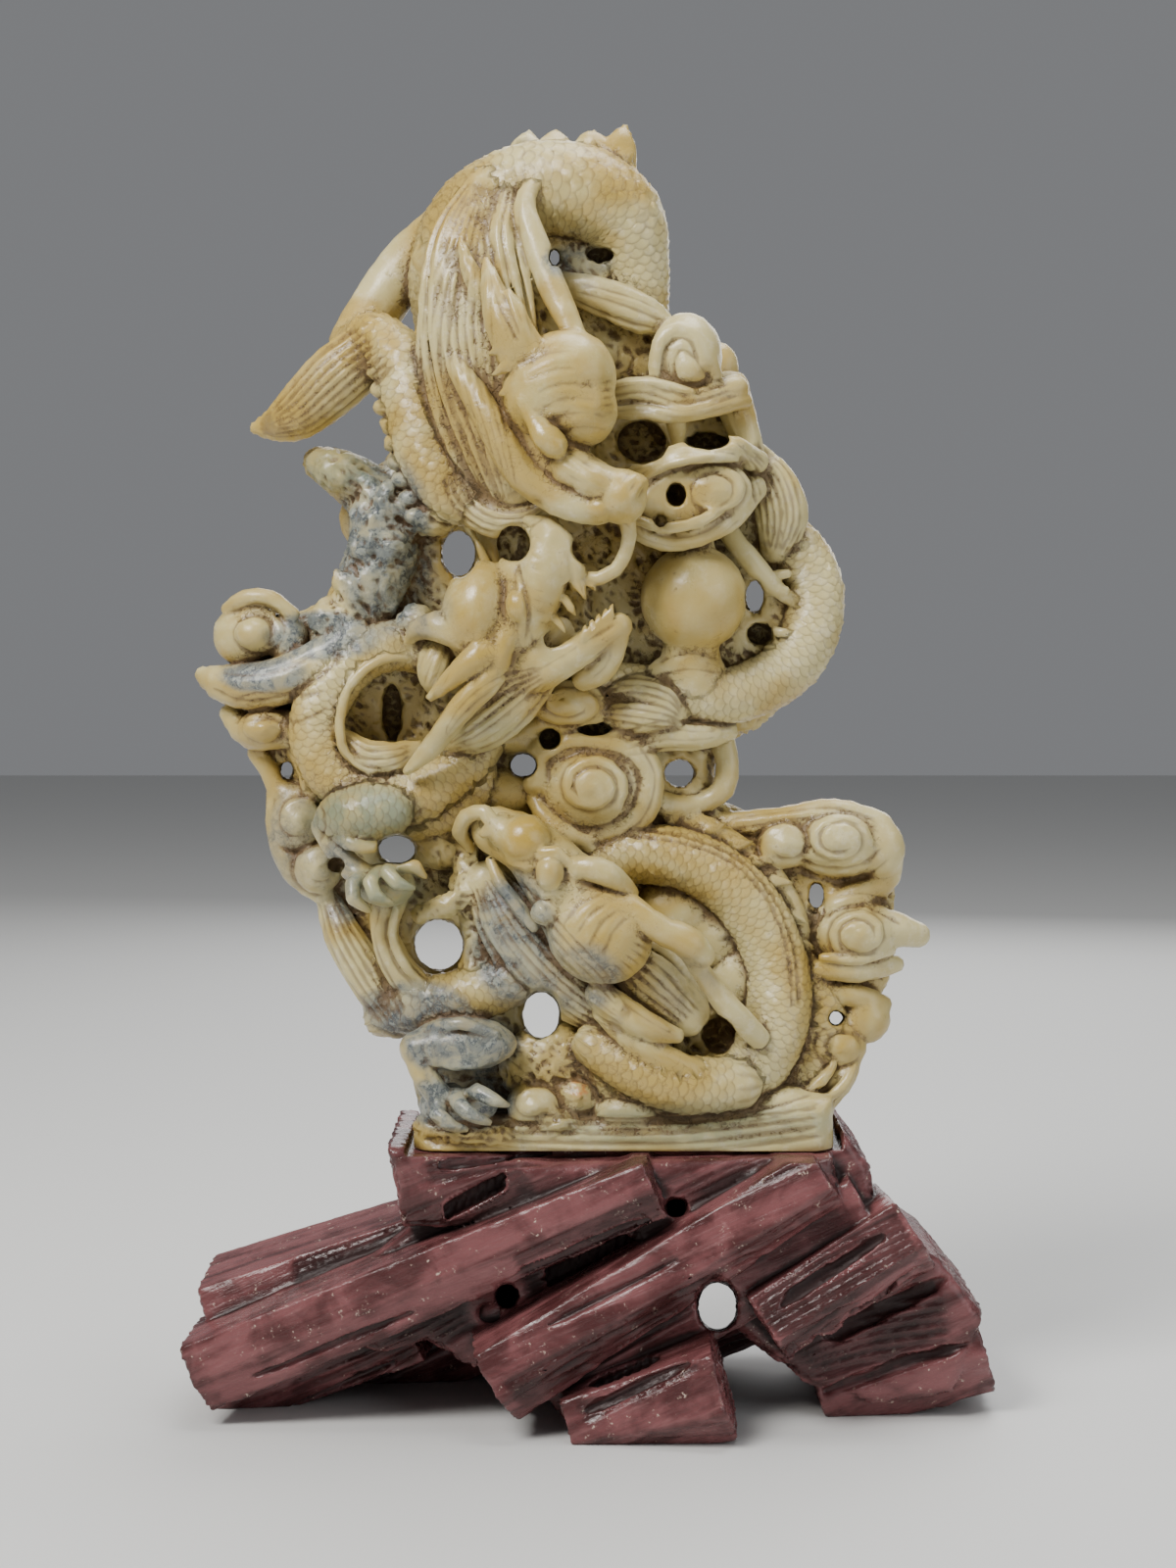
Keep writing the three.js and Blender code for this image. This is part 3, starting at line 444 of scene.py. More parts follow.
@dataclass
class Drill:
    """A drilled hole along the line of sight.

    Args:
        at: layout place across and down.
        size: radii across and up in layout units.
        front: depth where it starts.
        back: depth where it ends.
        blend: millimetres over which its rim is rounded.
    """

    at: tuple
    size: tuple
    front: float = -90.0
    back: float = 90.0
    blend: float = 0.8

    def settle(self, sight: Sight) -> None:
        """Place the two ends."""
        self.a = sight.place(self.at[0], self.at[1], self.front)
        self.b = sight.place(self.at[0], self.at[1], self.back)

    def bounds(self) -> tuple[np.ndarray, np.ndarray]:
        """Give the box that the hole can change."""
        reach = np.array([max(self.size) * UNIT + REACH] * 3)
        return np.minimum(self.a, self.b) - reach, np.maximum(self.a, self.b) + reach

    def distance(self, x: np.ndarray, y: np.ndarray, z: np.ndarray) -> np.ndarray:
        """Measure the distance from a block of places, as Limb does."""
        share = (y - self.a[1]) / (self.b[1] - self.a[1])
        cx = (self.a[0] + share * (self.b[0] - self.a[0])).astype(np.float32)[None, :, None]
        cz = (self.a[2] + share * (self.b[2] - self.a[2])).astype(np.float32)[None, :, None]
        px = x.astype(np.float32)[:, None, None] - cx
        pz = z.astype(np.float32)[None, None, :] - cz
        rx, rz = self.size[0] * UNIT, self.size[1] * UNIT
        d = (np.sqrt((px / rx)**2 + (pz / rz)**2) - 1) * min(rx, rz)
        ends = np.abs(y - (self.a[1] + self.b[1]) / 2) - (self.b[1] - self.a[1]) / 2
        return np.maximum(d, ends.astype(np.float32)[None, :, None])


@dataclass
class Groove:
    """An engraved line that follows whatever surface it crosses.

    Args:
        rows: layout places across and down.
        side: -1 engraves the front and 1 the back.
        wide: half width in layout units.
        deep: depth in millimetres.
    """

    rows: list
    side: int = -1
    wide: float = 2.3
    deep: float = 0.5


class Engraving:
    """The depth of all engraved lines of one side, over the layout."""

    # The part of the layout that is covered: its first place, and its columns and rows
    START = (170, 110)
    COUNTS = (860, 1400)

    def __init__(self, grooves: list, side: int) -> None:
        """Draw the lines.

        Args:
            grooves: the engraved lines.
            side: -1 for the front and 1 for the back.
        """
        self.side = side
        self.field = np.zeros(self.COUNTS, np.float32)
        for groove in grooves:
            if groove.side != side:
                continue
            rows = np.array(groove.rows, float)[:, :2]
            path = catmull(np.hstack([rows, np.zeros((len(rows), 2))]), 1.2)[:, :2]
            reach = int(groove.wide * 2.5) + 1
            fade = np.minimum(1, np.minimum(np.arange(len(path)), np.arange(len(path))[::-1]) / 8 + 0.3)
            for (across, down), share in zip(path, fade):
                i, j = int(across) - self.START[0], int(down) - self.START[1]
                if not (reach < i < self.COUNTS[0] - reach - 2 and reach < j < self.COUNTS[1] - reach - 2):
                    continue
                x = np.arange(i - reach, i + reach + 2)
                y = np.arange(j - reach, j + reach + 2)
                near = ((x + self.START[0] - across)[:, None]**2 + (y + self.START[1] - down)[None, :]**2)
                part = self.field[x[0]:x[-1] + 1, y[0]:y[-1] + 1]
                np.maximum(part, share * groove.deep * np.exp(-near / groove.wide**2), out=part)

    def at(self, layout: np.ndarray, facing: np.ndarray) -> np.ndarray:
        """Read the depth.

        Args:
            layout: layout places.
            facing: Y component of the surface direction.

        Returns:
            Depths in millimetres.
        """
        i = np.clip(layout[:, 0] - self.START[0], 0, self.COUNTS[0] - 2)
        j = np.clip(layout[:, 1] - self.START[1], 0, self.COUNTS[1] - 2)
        a, b = i.astype(int), j.astype(int)
        u, v = i - a, j - b
        f = self.field
        upper = f[a, b] * (1 - u) + f[a + 1, b] * u
        lower = f[a, b + 1] * (1 - u) + f[a + 1, b + 1] * u
        depth = upper * (1 - v) + lower * v
        return depth * np.clip(facing * self.side * 3 - 0.5, 0, 1)


class Stone:
    """A block of places that strokes are joined to and cut from."""

    def __init__(self, lo: np.ndarray, hi: np.ndarray, step: float) -> None:
        """Lay out the block.

        Args:
            lo: lowest corner in millimetres.
            hi: highest corner in millimetres.
            step: spacing of the places in millimetres.
        """
        self.step = step
        self.lo = np.asarray(lo, float) - 2 * step
        counts = np.ceil((np.asarray(hi, float) - self.lo) / step).astype(int) + 3
        self.axes = [self.lo[k] + step * np.arange(counts[k]) for k in range(3)]
        self.value = np.full(tuple(counts), FAR, np.float32)
        self.owner = np.zeros(tuple(counts), np.uint16)
        self.strokes = []
        self.grooves = []

    def window(self, stroke) -> tuple:
        """Find the part of the block that a stroke can change."""
        lo, hi = stroke.bounds()
        return tuple(span(axis, lo[k], hi[k]) for k, axis in enumerate(self.axes))

    def join(self, stroke, sight: Sight) -> None:
        """Join one stroke with a soft seam.

        Args:
            stroke: the stroke.
            sight: the piece's layout.
        """
        stroke.settle(sight)
        self.strokes.append(stroke)
        part = self.window(stroke)
        if any(s.stop <= s.start for s in part):
            return
        d = stroke.distance(*(axis[s] for axis, s in zip(self.axes, part)))
        value, owner = self.value[part], self.owner[part]
        owner[d < value] = len(self.strokes)
        soft = np.maximum(stroke.blend - np.abs(value - d), 0) / stroke.blend
        np.minimum(value, d, out=value)
        value -= soft * soft * np.float32(stroke.blend * SEAM)

    def cut(self, stroke, sight: Sight) -> None:
        """Cut one stroke away with a soft rim."""
        stroke.settle(sight)
        part = self.window(stroke)
        d = -stroke.distance(*(axis[s] for axis, s in zip(self.axes, part)))
        value = self.value[part]
        soft = np.maximum(stroke.blend - np.abs(value - d), 0) / stroke.blend
        np.maximum(value, d, out=value)
        value += soft * soft * np.float32(stroke.blend * SEAM)

    def front_of(self, across: float, down: float, sight: Sight) -> float:
        """Find the depth of the first stone along a sight line.

        Args:
            across: layout units to the right.
            down: layout units downwards.
            sight: the piece's layout.

        Returns:
            The depth in millimetres.
        """
        depths = np.arange(-60.0, 40.0, 0.4)
        values = self.sample(self.value, sight.place(across, down, depths))
        return float(depths[np.argmax(values < 0)])

    def cut_under(self, level: float) -> None:
        """Cut away everything under a height in millimetres."""
        under = (level - self.axes[2]).astype(np.float32)[None, None, :]
        np.maximum(self.value, under, out=self.value)

    def index_of(self, points: np.ndarray) -> tuple:
        """Give the nearest place of each point."""
        i = np.rint((points - self.lo) / self.step).astype(int)
        return tuple(np.clip(i[:, k], 0, self.value.shape[k] - 1) for k in range(3))

    def gradient(self, points: np.ndarray) -> np.ndarray:
        """Give the outward direction at some points."""
        out = np.empty_like(points)
        for k in range(3):
            shift = np.zeros(3)
            shift[k] = self.step
            out[:, k] = self.sample(self.value, points + shift) - self.sample(self.value, points - shift)
        return out / (np.linalg.norm(out, axis=1, keepdims=True) + 1e-9)

    def sample(self, block: np.ndarray, points: np.ndarray) -> np.ndarray:
        """Read a block between its places."""
        p = (points - self.lo) / self.step
        base = np.clip(np.floor(p).astype(int), 0, np.array(block.shape) - 2)
        f = np.clip(p - base, 0, 1)
        out = np.zeros(len(points))
        for corner in range(8):
            bits = np.array([corner & 1, corner >> 1 & 1, corner >> 2 & 1])
            weight = np.prod(np.where(bits, f, 1 - f), axis=1)
            at = base + bits
            out += weight * block[at[:, 0], at[:, 1], at[:, 2]]
        return out

    def crowding(self, reach: float) -> np.ndarray:
        """Measure how much stone stands round each place.

        Args:
            reach: half width of the box looked at in millimetres.

        Returns:
            Share of stone in the box, a block of values.
        """
        block = (self.value < 0).astype(np.float32)
        n = max(1, int(round(reach / self.step)))
        for _ in range(2):
            for axis in range(3):
                total = np.cumsum(block, axis=axis, dtype=np.float32)
                pad = [(0, 0)] * 3
                pad[axis] = (n + 1, n)
                total = np.pad(total, pad, mode="edge")
                total[tuple(slice(0, n + 1) if k == axis else slice(None) for k in range(3))] = 0
                size = block.shape[axis]
                high = [slice(None)] * 3
                low = [slice(None)] * 3
                high[axis] = slice(2 * n + 1, 2 * n + 1 + size)
                low[axis] = slice(0, size)
                block = (total[tuple(high)] - total[tuple(low)]) / (2 * n + 1)
        return block

    def shell(self) -> tuple[np.ndarray, np.ndarray]:
        """Wrap the stone in a closed surface net.

        Returns:
            Places and four-cornered faces, facing outwards.
        """
        value = self.value
        inside = value < 0
        shape = np.array(value.shape)
        strides = np.array([shape[1] * shape[2], shape[2], 1])
        cells, sums, quads = [], [], []
        for axis in range(3):
            head = [slice(None)] * 3
            tail = [slice(None)] * 3
            head[axis], tail[axis] = slice(0, -1), slice(1, None)
            at = np.argwhere(inside[tuple(head)] != inside[tuple(tail)])
            a = value[at[:, 0], at[:, 1], at[:, 2]]
            other = at.copy()
            other[:, axis] += 1
            b = value[other[:, 0], other[:, 1], other[:, 2]]
            place = at.astype(float)
            place[:, axis] += a / (a - b)
            u, v = (axis + 1) % 3, (axis + 2) % 3
            around = []
            for du, dv in ((0, 0), (1, 0), (1, 1), (0, 1)):
                cell = at.copy()
                cell[:, u] -= du
                cell[:, v] -= dv
                around.append(cell @ strides)
                cells.append(around[-1])
                sums.append(place)
            around = np.stack(around, 1)
            flip = a >= 0
            around[flip] = around[flip][:, ::-1]
            quads.append(around[:, ::-1])
        cells, sums, quads = np.concatenate(cells), np.concatenate(sums), np.concatenate(quads)
        names, back = np.unique(cells, return_inverse=True)
        count = np.bincount(back)
        places = np.stack([np.bincount(back, sums[:, k]) / count for k in range(3)], 1)
        return self.lo + places * self.step, np.searchsorted(names, quads)


def beside(rows, shares) -> list:
    """Run paths side by side within the width of a limb.

    Args:
        rows: layout rows; the last value is the half width.
        shares: where each path runs, -1 to 1 across the width.

    Returns:
        One array of rows for each share.
    """
    rows = np.array(rows, float)
    run = np.gradient(rows[:, :2], axis=0)
    run /= np.linalg.norm(run, axis=1, keepdims=True)
    side = np.stack([-run[:, 1], run[:, 0]], 1)
    out = []
    for share in shares:
        path = rows.copy()
        path[:, :2] += side * rows[:, -1:] * share
        out.append(path)
    return out


def lines(rows, count: int, spread: float = 0.85, **more) -> list[Groove]:
    """Engrave lines along a limb, as for hair and cloud bands.

    Args:
        rows: layout rows of the limb, or only across, down and half width.
        count: number of lines.
        spread: share of the half width that the outer lines reach.

    Returns:
        The lines.
    """
    shares = np.linspace(-spread, spread, count) if count > 1 else [0.0]
    return [Groove(path[:, :2].tolist(), **more) for path in beside(rows, shares)]


def strands(rows, count: int, spread: float, radius: float, depth: float = 0.7, flat: float = 0.75) -> list:
    """Lay low side-by-side ridges over a flowing mass of hair, with lines engraved between them.

    Args:
        rows: layout rows of the middle ridge; the radius is the half width of the whole mass.
        count: number of ridges.
        spread: share of the half width that the outer ridges reach.
        radius: ridge radius in layout units at its thickest.
        depth: how far the ridges are sunk in the mass, in millimetres.
        flat: flatness of the mass.

    Returns:
        The ridges and the lines.
    """
    shares = np.linspace(-spread, spread, count)
    out = []
    for share, ridge in zip(shares, beside(rows, shares)):
        dome = math.sqrt(max(0.0, 1 - share**2))
        ridge[:, 2] += depth - ridge[:, 3] * UNIT * flat * dome
        taper = np.sin(np.linspace(0.25, 1.0, len(ridge)) * math.pi)
        ridge[:, 3] = radius * np.maximum(taper, 0.3)
        out.append(Limb(ridge.tolist(), blend=0.5))
    return out + lines(rows, count + 1, min(1.0, spread * (count + 1) / count), wide=1.9)


def scroll(at, size, hand: int = 1, turns: float = 1.6, through: float = 5.0, start: float = 1.0,
           side: int = -1) -> list:
    """Carve a cloud scroll: a low lobe with a raised heart and an engraved spiral.

    Args:
        at: layout place of the lobe's centre.
        size: radii across and up in layout units.
        hand: 1 winds clockwise as seen from the front, -1 the other way.
        turns: turns of the spiral.
        through: half thickness of the lobe in millimetres.
        start: angle of the spiral's inner end in radians.
        side: -1 carves the front and 1 the back.

    Returns:
        The lobe, its heart, its low ridge and its line.
    """
    across, down, depth = at
    count = int(12 * turns)
    ridge, line = [], []
    for k in range(count + 1):
        share = k / count
        angle = start + hand * 2 * math.pi * turns * share
        cos, sin = math.cos(angle), math.sin(angle)
        reach = 0.3 + 0.6 * share
        rise = through * math.sqrt(1 - 0.9 * reach**2) - 0.85
        ridge.append([across + size[0] * reach * cos, down + size[1] * reach * sin, depth + side * rise,
                      min(size) * 0.15])
        reach += 0.3 / turns
        line.append([across + size[0] * reach * cos, down + size[1] * reach * sin])
    heart = (across, down, depth + side * through * 0.6)
    return [Mass(at, (size[0], size[1], through), blend=1.0),
            Mass(heart, (size[0] * 0.36, size[1] * 0.36, through * 0.55), blend=0.5),
            Limb(ridge, blend=0.9), Groove(line, side, 2.3, 0.55)]


def spikes(rows, count: int, length: float, radius: float, side: int = 1, lean: float = 0.5) -> list[Limb]:
    """Set a row of pointed fins along a body.

    Args:
        rows: layout rows along the fins' roots.
        count: number of fins.
        length: fin length in layout units.
        radius: root radius in layout units.
        side: which side of the path they stand on.
        lean: how far the tips lean along the path.

    Returns:
        The fins.
    """
    path = catmull(np.array(rows, float), 12.0)
    out = []
    for share in np.linspace(0.02, 0.98, count):
        i = min(int(share * (len(path) - 1)), len(path) - 2)
        run = path[i + 1, :2] - path[i, :2]
        run /= np.linalg.norm(run)
        out_way = np.array([run[1], -run[0]]) * side
        root = path[i]
        tip = root[:2] + (out_way + run * lean) * length
        out.append(Limb([[root[0], root[1], root[2], radius],
                         [(root[0] + tip[0]) / 2, (root[1] + tip[1]) / 2, root[2], radius * 0.6],
                         [tip[0], tip[1], root[2], 2]], flat=0.6, blend=0.6))
    return out


# The web of stone that ties the figures together
WEB_DEPTHS = (-4.0, 13.0)
WEB_EDGE = 5.5
WEB = [
    [470, 250], [515, 185], [630, 170], [656, 230], [668, 320], [735, 385], [765, 480], [805, 560],
    [838, 625], [800, 690], [735, 718], [725, 815], [800, 845], [880, 842], [912, 890], [905, 1000],
    [842, 1110], [842, 1185], [440, 1185], [415, 1060], [345, 930], [300, 880], [285, 790],
    [232, 690], [250, 650], [345, 610], [370, 500], [420, 440], [420, 350],
]

ARCH = [
    [450, 330, 8, 28], [455, 280, 4, 38], [480, 228, 0, 44], [530, 198, -3, 47], [590, 196, -4, 47],
    [633, 222, -2, 43], [650, 270, 0, 33], [657, 325, 2, 26], [672, 365, 4, 22],
]
NECK = [
    [502, 192, -9, 22], [488, 250, -13, 38], [492, 330, -17, 50], [508, 400, -18, 54],
    [520, 460, -18, 46], [530, 512, -16, 26],
]
TUFT = [[262, 438, 1, 7], [282, 434, 0, 17], [306, 422, -2, 27], [345, 386, -4, 33], [385, 354, -5, 29]]
LEFT_LOOP = [
    [370, 352, -1, 27], [385, 350, -5, 29], [410, 375, -9, 31], [426, 425, -12, 31], [438, 470, -13, 31],
    [466, 505, -13, 29], [512, 520, -12, 24],
]
MANE_EDGE = [
    [470, 246, -12, 16], [448, 310, -15, 18], [444, 380, -16, 18], [462, 440, -17, 20], [500, 520, -15, 16],
]


def upper_dragon() -> list:
    """Carve the upper dragon: arched body, left loop with its tuft, and the hanging head."""
    fins = [
        ((534, 172), (540, 136)), ((566, 166), (567, 136)), ((600, 164), (606, 136)),
        ((626, 172), (638, 130)), ((508, 184), (512, 160)), ((484, 208), (482, 188)),
        ((462, 238), (458, 214)), ((444, 262), (438, 240)),
    ]
    out = [
        Limb(ARCH, Skin.SCALES, blend=1.2, pitch=3.9),
        Limb([[450, 235, 8, 24], [415, 272, 12, 28], [385, 315, 10, 28], [360, 350, 4, 24]], blend=1.2),
        Limb(LEFT_LOOP, Skin.SCALES, blend=1.0, pitch=3.5),
        Limb(TUFT, Skin.HAIR, flat=0.75),
        *lines(TUFT, 8, 0.9, deep=0.6),
        Limb(NECK, Skin.HAIR, flat=0.75, blend=1.5),
        Limb(MANE_EDGE, Skin.HAIR, flat=0.8, blend=0.8),
        *lines(MANE_EDGE, 4, 0.8, deep=0.6),
        # forehead with its bands
        Mass((570, 396, -29), (60, 51, 11.5), -42, 1.2),
        Mass((592, 418, -30), (36, 38, 10), -30, 1.0),
        # smooth nub below the forehead
        Limb([[530, 408, -37, 5], [545, 430, -37, 9], [558, 448, -38, 14], [566, 456, -38, 13]], blend=0.5),
        # muzzle and nose
        Limb([[540, 430, -26, 26], [566, 466, -28, 28], [596, 490, -30, 24], [626, 502, -32, 20]], blend=1.0),
        Mass((634, 508, -33), (25, 27, 7.5), 0, 0.8),
        Mass((648, 496, -34), (13, 12, 4.5), 0, 0.6),
        Mass((612, 520, -35), (14, 12, 4), 0, 0.5),
        Mass((604, 492, -33), (30, 19, 7.5), 28, 0.8),
        Mass((584, 480, -32), (24, 20, 7), 28, 0.8),
        *lines([[574, 470, 14], [596, 484, 14], [620, 496, 10]], 3, 0.7, deep=0.35),
        # long smooth jaw
        Limb([[459, 366, -24, 7], [470, 382, -27, 11], [486, 406, -29, 14], [502, 434, -31, 15],
            [518, 464, -32, 16], [536, 488, -32, 16], [558, 504, -32, 16], [582, 516, -33, 16],
            [610, 522, -33, 15]], blend=0.7),
        # horn with its two tips
        Limb([[496, 266, -26, 3], [499, 280, -28, 8], [504, 302, -30, 13], [514, 330, -31, 19],
            [528, 356, -31, 23]], blend=0.6),
        Limb([[519, 300, -33, 4], [526, 318, -34, 9], [534, 342, -34, 13], [546, 366, -33, 14]], blend=0.5),
        Limb([[470, 246, -22, 3], [477, 270, -24, 8], [488, 300, -25, 10], [500, 334, -24, 9]], blend=0.5),
        # smooth strap beside the head
        Limb([[542, 192, -15, 8], [535, 212, -18, 11], [545, 245, -21, 13], [560, 285, -24, 14],
            [576, 320, -27, 13], [592, 354, -30, 9]], blend=0.7, flat=0.8),
        # leg and its web beside the neck
        Limb([[575, 292, -5, 14], [600, 300, -8, 18], [625, 308, -9, 20], [655, 322, -9, 20],
            [684, 334, -7, 8]], flat=0.6),
        Groove([[583, 306], [612, 320], [640, 330], [668, 336]], deep=0.7),
        Groove([[586, 298], [616, 306], [646, 316], [676, 328]]),
        Groove([[590, 290], [620, 297], [650, 306], [676, 318]]),
        # lock of the beard below the jaw
        Limb([[462, 480, -12, 14], [474, 508, -14, 18], [500, 528, -16, 20], [530, 530, -18, 16],
            [556, 518, -20, 9]], Skin.HAIR),
        *lines([[462, 480, 14], [474, 508, 18], [500, 528, 20], [530, 530, 16], [556, 518, 9]],
            5, 0.8, deep=0.6),
    ]
    for root, tip in (((520, 352), (500, 362)), ((522, 372), (503, 384)), ((528, 394), (509, 404)),
                      ((538, 412), (522, 424))):
        out.append(Limb([[root[0] + 8, root[1] + 2, -33, 10], [root[0], root[1], -34, 8],
                         [tip[0], tip[1], -33, 2]], blend=0.5))
    for k in range(6):
        start = np.array([532, 374]) + np.array([7.5, 14]) * k
        out.append(Groove([[start[0] - 4, start[1] + 2], [start[0] + 26, start[1] - 12 + k],
                           [start[0] + 52 + 3 * k, start[1] - 14 + 3 * k]], deep=0.35, wide=3.6))
    for k in range(12):
        a = np.array([498, 440]) + np.array([7.4, 6.4]) * k
        out.append(Groove([[a[0] - 9, a[1] + 9 - k * 0.4], [a[0] + 1, a[1] + 1]], deep=0.35, wide=1.8))
    out += strands([[494, 186, -11, 12], [474, 245, -15, 30], [466, 320, -18, 34], [472, 385, -19, 32],
        [490, 450, -19, 28], [512, 515, -17, 16]], 8, 0.95, 6.5)
    out += strands([[520, 192, -12, 10], [512, 240, -18, 18], [524, 300, -22, 18], [538, 345, -25, 12]],
        4, 0.9, 6)
    for k in range(9):
        share = k / 8
        a = np.array([386, 380]) * (1 - share) + np.array([424, 528]) * share
        bow = 12 * math.sin(share * math.pi)
        out.append(Mass((a[0] - bow * 0.3, a[1], -10 - 2 * share), (12, 9, 3.4), 0, 0.5))
    for root, tip in fins:
        mid = [(root[0] + tip[0]) / 2, (root[1] + tip[1]) / 2]
        out.append(Limb([[root[0], root[1], -3, 24], [mid[0], mid[1] + 2, -2, 17], [tip[0], tip[1], -1, 3]],
                        flat=0.4, blend=0.8))
        out.append(Groove([[root[0] - 3, root[1] - 8], mid], deep=0.5))
    return out


def pearl_group() -> list:
    """Carve the pearl and the clouds, hair and body round it."""
    out = [
        Mass((700, 366, -12), (36, 44, 9), 0, 1.0),
        Limb([[690, 398, -16, 10], [672, 384, -17, 9], [674, 352, -18, 9], [692, 338, -18, 9],
            [708, 344, -18, 9], [716, 362, -18, 9], [728, 384, -16, 9], [712, 400, -16, 10]], blend=0.8),
        Mass((706, 378, -18), (17, 15, 4), 0, 0.6),
        Groove([[694, 404], [676, 388], [680, 356], [694, 346], [706, 352], [712, 370], [722, 386],
            [708, 398]], deep=0.6),
        Groove([[690, 390], [688, 368], [698, 358], [716, 376], [716, 388]]),
        Mass((732, 378, 7), (22, 28, 4), 0, 1.0),
        Limb([[612, 408, -12, 14], [655, 402, -16, 16], [700, 412, -18, 15], [750, 398, -12, 14]], blend=1.0),
        Limb([[620, 420, -15, 8], [672, 424, -20, 9], [715, 420, -20, 9], [760, 410, -12, 8]], blend=0.5),
        Limb([[618, 398, -15, 5], [660, 392, -20, 6], [705, 402, -21, 5]], blend=0.5),
        Limb([[686, 405, -18, 12], [691, 440, -15, 9], [691, 464, -13, 4]], blend=0.6),
        *lines([[612, 408, 18], [655, 402, 20], [700, 412, 20], [750, 398, 16]], 5),
        Limb([[618, 420, -2, 16], [621, 455, -2, 17], [620, 500, -2, 20]], Skin.ROCK),
        Limb([[745, 400, -6, 20], [758, 440, -8, 16], [768, 480, -8, 16]], Skin.HAIR),
        Limb([[640, 498, -18, 11], [662, 478, -21, 12], [700, 464, -23, 12], [742, 458, -21, 13],
            [772, 472, -12, 12]], blend=0.6),
        Limb([[655, 488, -21, 5], [682, 474, -25, 6], [715, 468, -26, 6], [750, 468, -22, 5]], blend=0.4),
        Limb([[642, 530, -20, 10], [656, 544, -21, 11], [685, 552, -22, 12], [716, 545, -22, 12],
            [745, 528, -18, 14], [768, 500, -12, 14]], blend=0.6),
        Limb([[650, 532, -24, 5], [680, 540, -26, 6], [712, 534, -26, 6], [740, 518, -23, 5]], blend=0.4),
        Mass((704, 506, -17), (62, 44, 7), 0, 1.0),
        *scroll((730, 502, -20), (36, 28), -1, 1.5, 5.0, 0.4),
        *lines([[640, 505, 14], [662, 480, 14], [700, 466, 14], [742, 462, 14], [768, 480, 12]], 3),
        *lines([[644, 528, 10], [660, 542, 12], [690, 550, 12], [720, 544, 14], [752, 520, 14]], 3),
        Mass((662, 510, -18), (26, 26, 6), 0, 0.8),
        Mass((708, 612, -12), (53, 53, 13.25), 0, 0.4),
        Limb([[704, 535, -12, 20], [707, 562, -12, 22]], Skin.HAIR, blend=0.6),
        Limb([[674, 686, -11, 12], [702, 680, -12, 15], [728, 686, -10, 12]], blend=1.4),
        Limb([[706, 655, -10, 26], [704, 692, -8, 34]], blend=1.2),
        *lines([[670, 684, 8], [702, 676, 10], [736, 682, 8]], 2, 0.8, deep=0.4),
        Limb([[762, 462, -4, 16], [788, 495, -6, 24], [798, 530, -7, 26], [790, 562, -5, 14]],
            Skin.HAIR, flat=0.8),
        *lines([[764, 458, 14], [790, 490, 26], [800, 528, 28], [792, 566, 14]], 8, 0.9, deep=0.6),
        Limb([[740, 540, -8, 10], [755, 560, -10, 11], [772, 580, -10, 11], [790, 600, -8, 9],
            [808, 614, -6, 6]], blend=0.6),
        Limb([[770, 540, 2, 22], [806, 558, 1, 30], [827, 595, 0, 32], [828, 638, -2, 31],
            [808, 678, -4, 30], [772, 703, -6, 29], [730, 713, -8, 28], [685, 708, -8, 26],
            [640, 700, -8, 22], [600, 690, -8, 18]], Skin.SCALES, blend=1.0),
        Limb([[625, 705, -10, 12], [655, 706, -13, 16], [682, 722, -13, 18], [670, 748, -10, 14]], Skin.HAIR),
        Limb([[612, 722, -9, 12], [640, 730, -12, 18], [672, 728, -13, 22], [700, 722, -10, 12]], blend=0.8),
        *lines([[610, 722, 14], [640, 716, 26], [676, 722, 26], [696, 734, 12]], 7, 0.9, deep=0.6),
        *lines([[636, 762, 14], [675, 752, 18], [715, 752, 16], [745, 748, 8]], 4, 0.8),
        Limb([[636, 762, -8, 12], [675, 752, -11, 15], [715, 752, -11, 14], [745, 748, -7, 8]], Skin.HAIR),
        Limb([[735, 752, -2, 14], [742, 780, -4, 12], [738, 806, -4, 12], [712, 822, -4, 10],
            [680, 822, -6, 12], [650, 808, -6, 14]]),
    ]
    for k in range(6):
        angle = -0.9 + 0.42 * k
        at = (795 - 46 * math.cos(angle) * 0.2, 628 + 50 * math.sin(angle), -6)
        tip = at[1] + 3 * math.sin(angle)
        out.append(Limb([[at[0] - 4, at[1], -6, 5], [at[0] + 14, tip, -9, 5]], blend=0.4))
    return out


